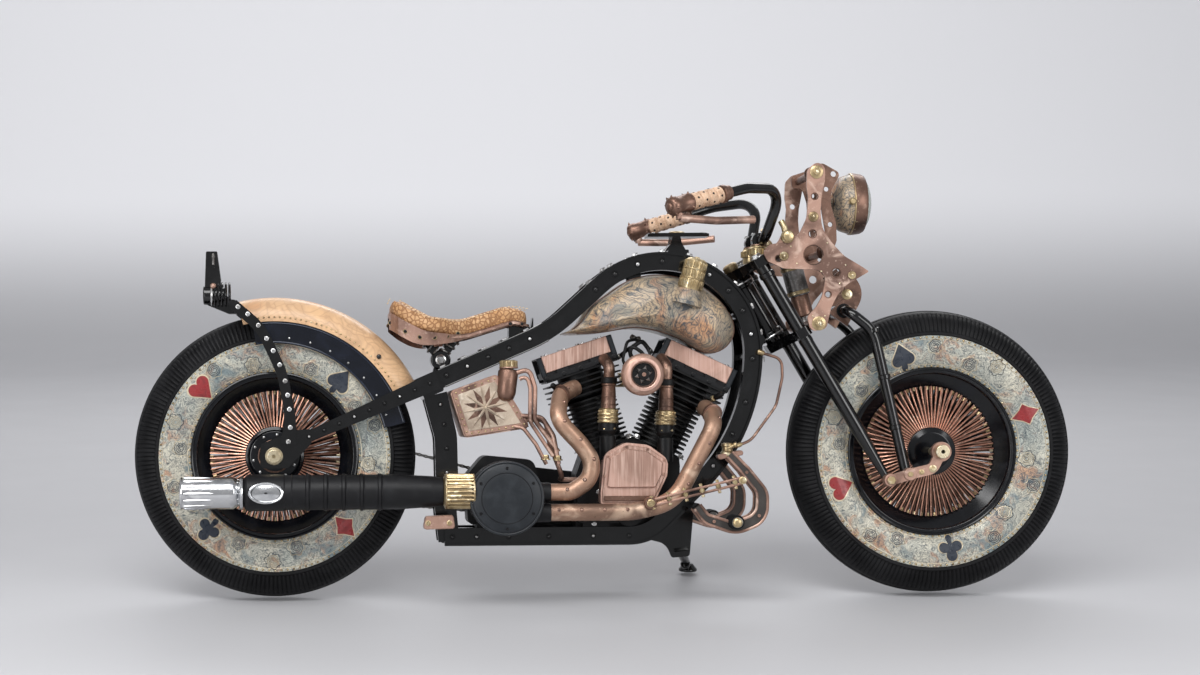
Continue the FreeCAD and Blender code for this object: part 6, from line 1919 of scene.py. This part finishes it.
@dataclass
class Axles(Assembly):
    """The ends of the rear axle."""

    def build(self) -> None:
        """A washer and a ring at each end."""
        self.dress(Paint.PALE_BRASS, "rear_axle")
        for side in (-1, 1):
            out = ACROSS * side
            self.of(Paint.PALE_BRASS).lathe([(22, 0), (22, 3), (20, 4.5)], REAR_AXLE + out * 113, out, 32)
            self.of(Paint.PALE_BRASS).torus(REAR_AXLE + out * 130, out, 13, 2.6, 28)


@dataclass
class Studio:
    """Backdrop, lights and camera."""

    eye: Vector = fixed(-683, -5500, 428)
    roll: float = 0.00736
    lens: float = 65.385
    shift: tuple[float, float] = (0.225, 0.0738)
    reach: float = 40.0
    wall: float = 5.0
    bend: float = 3.0
    top: float = 14.0
    sky: float = 0.42

    def backdrop(self) -> bpy.types.Object:
        """A pale floor that curves up into a wall, which is clear when seen from behind."""
        profile = [(y, 0.0) for y in (-self.reach, -6.0, 0.0, 3.0, self.wall)]
        for i in range(1, 13):
            angle = math.pi / 2 * i / 12
            profile.append((self.wall + self.bend * math.sin(angle), self.bend * (1 - math.cos(angle))))
        profile.append((self.wall + self.bend, self.top))
        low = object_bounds()[0]
        points, faces = [], []
        for x in (-self.reach, self.reach):
            points.extend((x, y, z + min(low[2], 0.0)) for y, z in profile)
        count = len(profile)
        for i in range(count - 1):
            faces.append((i, count + i, count + i + 1, i + 1))
        mesh = bpy.data.meshes.new("backdrop")
        mesh.from_pydata(points, [], faces)
        mesh.shade_smooth()
        mesh.materials.append(self.paper())
        piece = bpy.data.objects.new("backdrop", mesh)
        bpy.context.scene.collection.objects.link(piece)
        return piece

    def paper(self) -> bpy.types.Material:
        """The backdrop's material: matt and pale, with painted light and shade on it: paler near the camera,
        darker towards the wall's foot, and paler up the wall.
        """
        material = bpy.data.materials.new("backdrop")
        material.use_nodes = True
        material.node_tree.nodes.clear()
        g = Graph(material.node_tree)
        place = g.put("TexCoord").outputs["Object"]
        part = g.put("SeparateXYZ", {0: place})
        # Painted light and shade: the floor fades from pale near the camera to darker behind the motorcycle,
        # and the wall grows paler going up.
        near = g.ramp(part.outputs["Y"], -1.9, 1.2)
        far = g.ramp(part.outputs["Z"], 0.0, 0.8)
        grain = g.noise(place, 3.0, 4)
        floor = g.mix(near, (0.54, 0.54, 0.555, 1), (0.42, 0.42, 0.435, 1))
        tone = g.mix(far, floor, (0.92, 0.92, 0.945, 1))
        rough = g.put("MapRange", {0: grain, 1: 0.2, 2: 0.8, 3: 0.42, 4: 0.54})
        feeds = {"Base Color": tone, "Roughness": rough.outputs[0], "Specular IOR Level": 0.12}
        shader = g.put("BsdfPrincipled", feeds)
        behind = g.put("NewGeometry").outputs["Backfacing"]
        clear = g.put("BsdfTransparent")
        surface = g.put("MixShader", {0: behind, 1: shader.outputs[0], 2: clear.outputs[0]})
        g.put("OutputMaterial", {"Surface": surface.outputs[0]})
        return material

    def light(self, name: str, at: Point, aim: Point, size: tuple[float, float],
        power: float) -> bpy.types.Object:
        """One soft rectangular light."""
        lamp = bpy.data.lights.new(name, "AREA")
        lamp.shape = "RECTANGLE"
        lamp.size, lamp.size_y = size
        lamp.energy = power
        piece = bpy.data.objects.new(name, lamp)
        piece.location = v(at)
        piece.rotation_euler = (v(aim) - v(at)).to_track_quat("-Z", "Y").to_euler()
        bpy.context.scene.collection.objects.link(piece)
        return piece

    def camera(self) -> bpy.types.Object:
        """The camera at the photograph's place."""
        data = bpy.data.cameras.new("camera")
        data.lens = self.lens
        data.sensor_width = 36
        data.shift_x, data.shift_y = self.shift
        data.clip_end = 100
        piece = bpy.data.objects.new("camera", data)
        right = Vector((math.cos(self.roll), 0, -math.sin(self.roll)))
        up = Vector((math.sin(self.roll), 0, math.cos(self.roll)))
        turn = Matrix((right, up, RIGHT)).transposed().to_4x4()
        piece.matrix_world = SET_DOWN @ Matrix.Translation(self.eye * MM) @ turn
        bpy.context.scene.collection.objects.link(piece)
        bpy.context.scene.camera = piece
        return piece

    def build(self) -> None:
        """Everything round the motorcycle."""
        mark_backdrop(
            self.backdrop(),
            self.light("key", (-1.5, -3.2, 4.6), (0, 0, 0.5), (5.0, 2.4), 250),
            self.light("side", (3.6, -4.2, 2.2), (0.2, 0, 0.5), (2.4, 2.8), 100),
            self.light("low", (-3.6, -4.6, 1.4), (-0.2, 0, 0.5), (2.2, 2.4), 80),
            self.light("rim", (0.4, 3.2, 3.4), (0, 0, 0.7), (5.0, 1.2), 90),
            self.light("wall", (0, 2.4, 4.4), (0, 8.0, 1.6), (9.0, 1.2), 95),
        )
        self.camera()
        world = bpy.data.worlds.new("world")
        world.use_nodes = True
        sky = world.node_tree.nodes["Background"]
        sky.inputs["Color"].default_value = (0.93, 0.94, 0.97, 1)
        sky.inputs["Strength"].default_value = self.sky
        bpy.context.scene.world = world
        bpy.context.scene.view_settings.view_transform = "Standard"


def assemblies() -> list[Assembly]:
    """Every assembly, in build order."""
    rear = {Suit.HEART: 137.0, Suit.CLUB: 227.5, Suit.DIAMOND: 314.5, Suit.SPADE: 48.5}
    front = {Suit.SPADE: 107.8, Suit.DIAMOND: 21.6, Suit.HEART: 200.7, Suit.CLUB: 279.6}
    return [
        Wheel("rear_wheel", "rear_wheel", REAR_AXLE.copy(), stands_for=("rear_tyre",), suits=rear),
        Wheel("front_wheel", "front_wheel", FRONT_AXLE.copy(), stands_for=("front_tyre",), suits=front),
        Drive("chain", "frame", stands_for=("drive_chain",)),
        Sprocket("sprocket", "rear_wheel", REAR_AXLE.copy()),
        BeamFrame("beams", "frame"),
        Fender("fender", "frame"),
        TailLamp("tail", "frame"),
        Saddle("saddle", "frame"),
        Tank("tank", "frame"),
        Engine("engine", "frame"),
        Exhaust("exhaust", "frame"),
        OilTank("oil", "frame"),
        FootControls("foot", "frame", stands_for=("foot_controls",)),
        Fork("fork", "fork"),
        HeadLamp("lamp", "fork"),
        Bars("bars", "fork", stands_for=("handlebar",)),
        Dash("dash", "frame"),
        Stand("stand", "side_stand"),
        Axles("axles", "frame"),
    ]


def main() -> None:
    """Builds the motorcycle and its studio."""
    logging.basicConfig(level=logging.INFO, format="%(message)s")
    for assembly in assemblies():
        assembly.run()
    Studio().build()


if __name__ == "__main__":
    main()
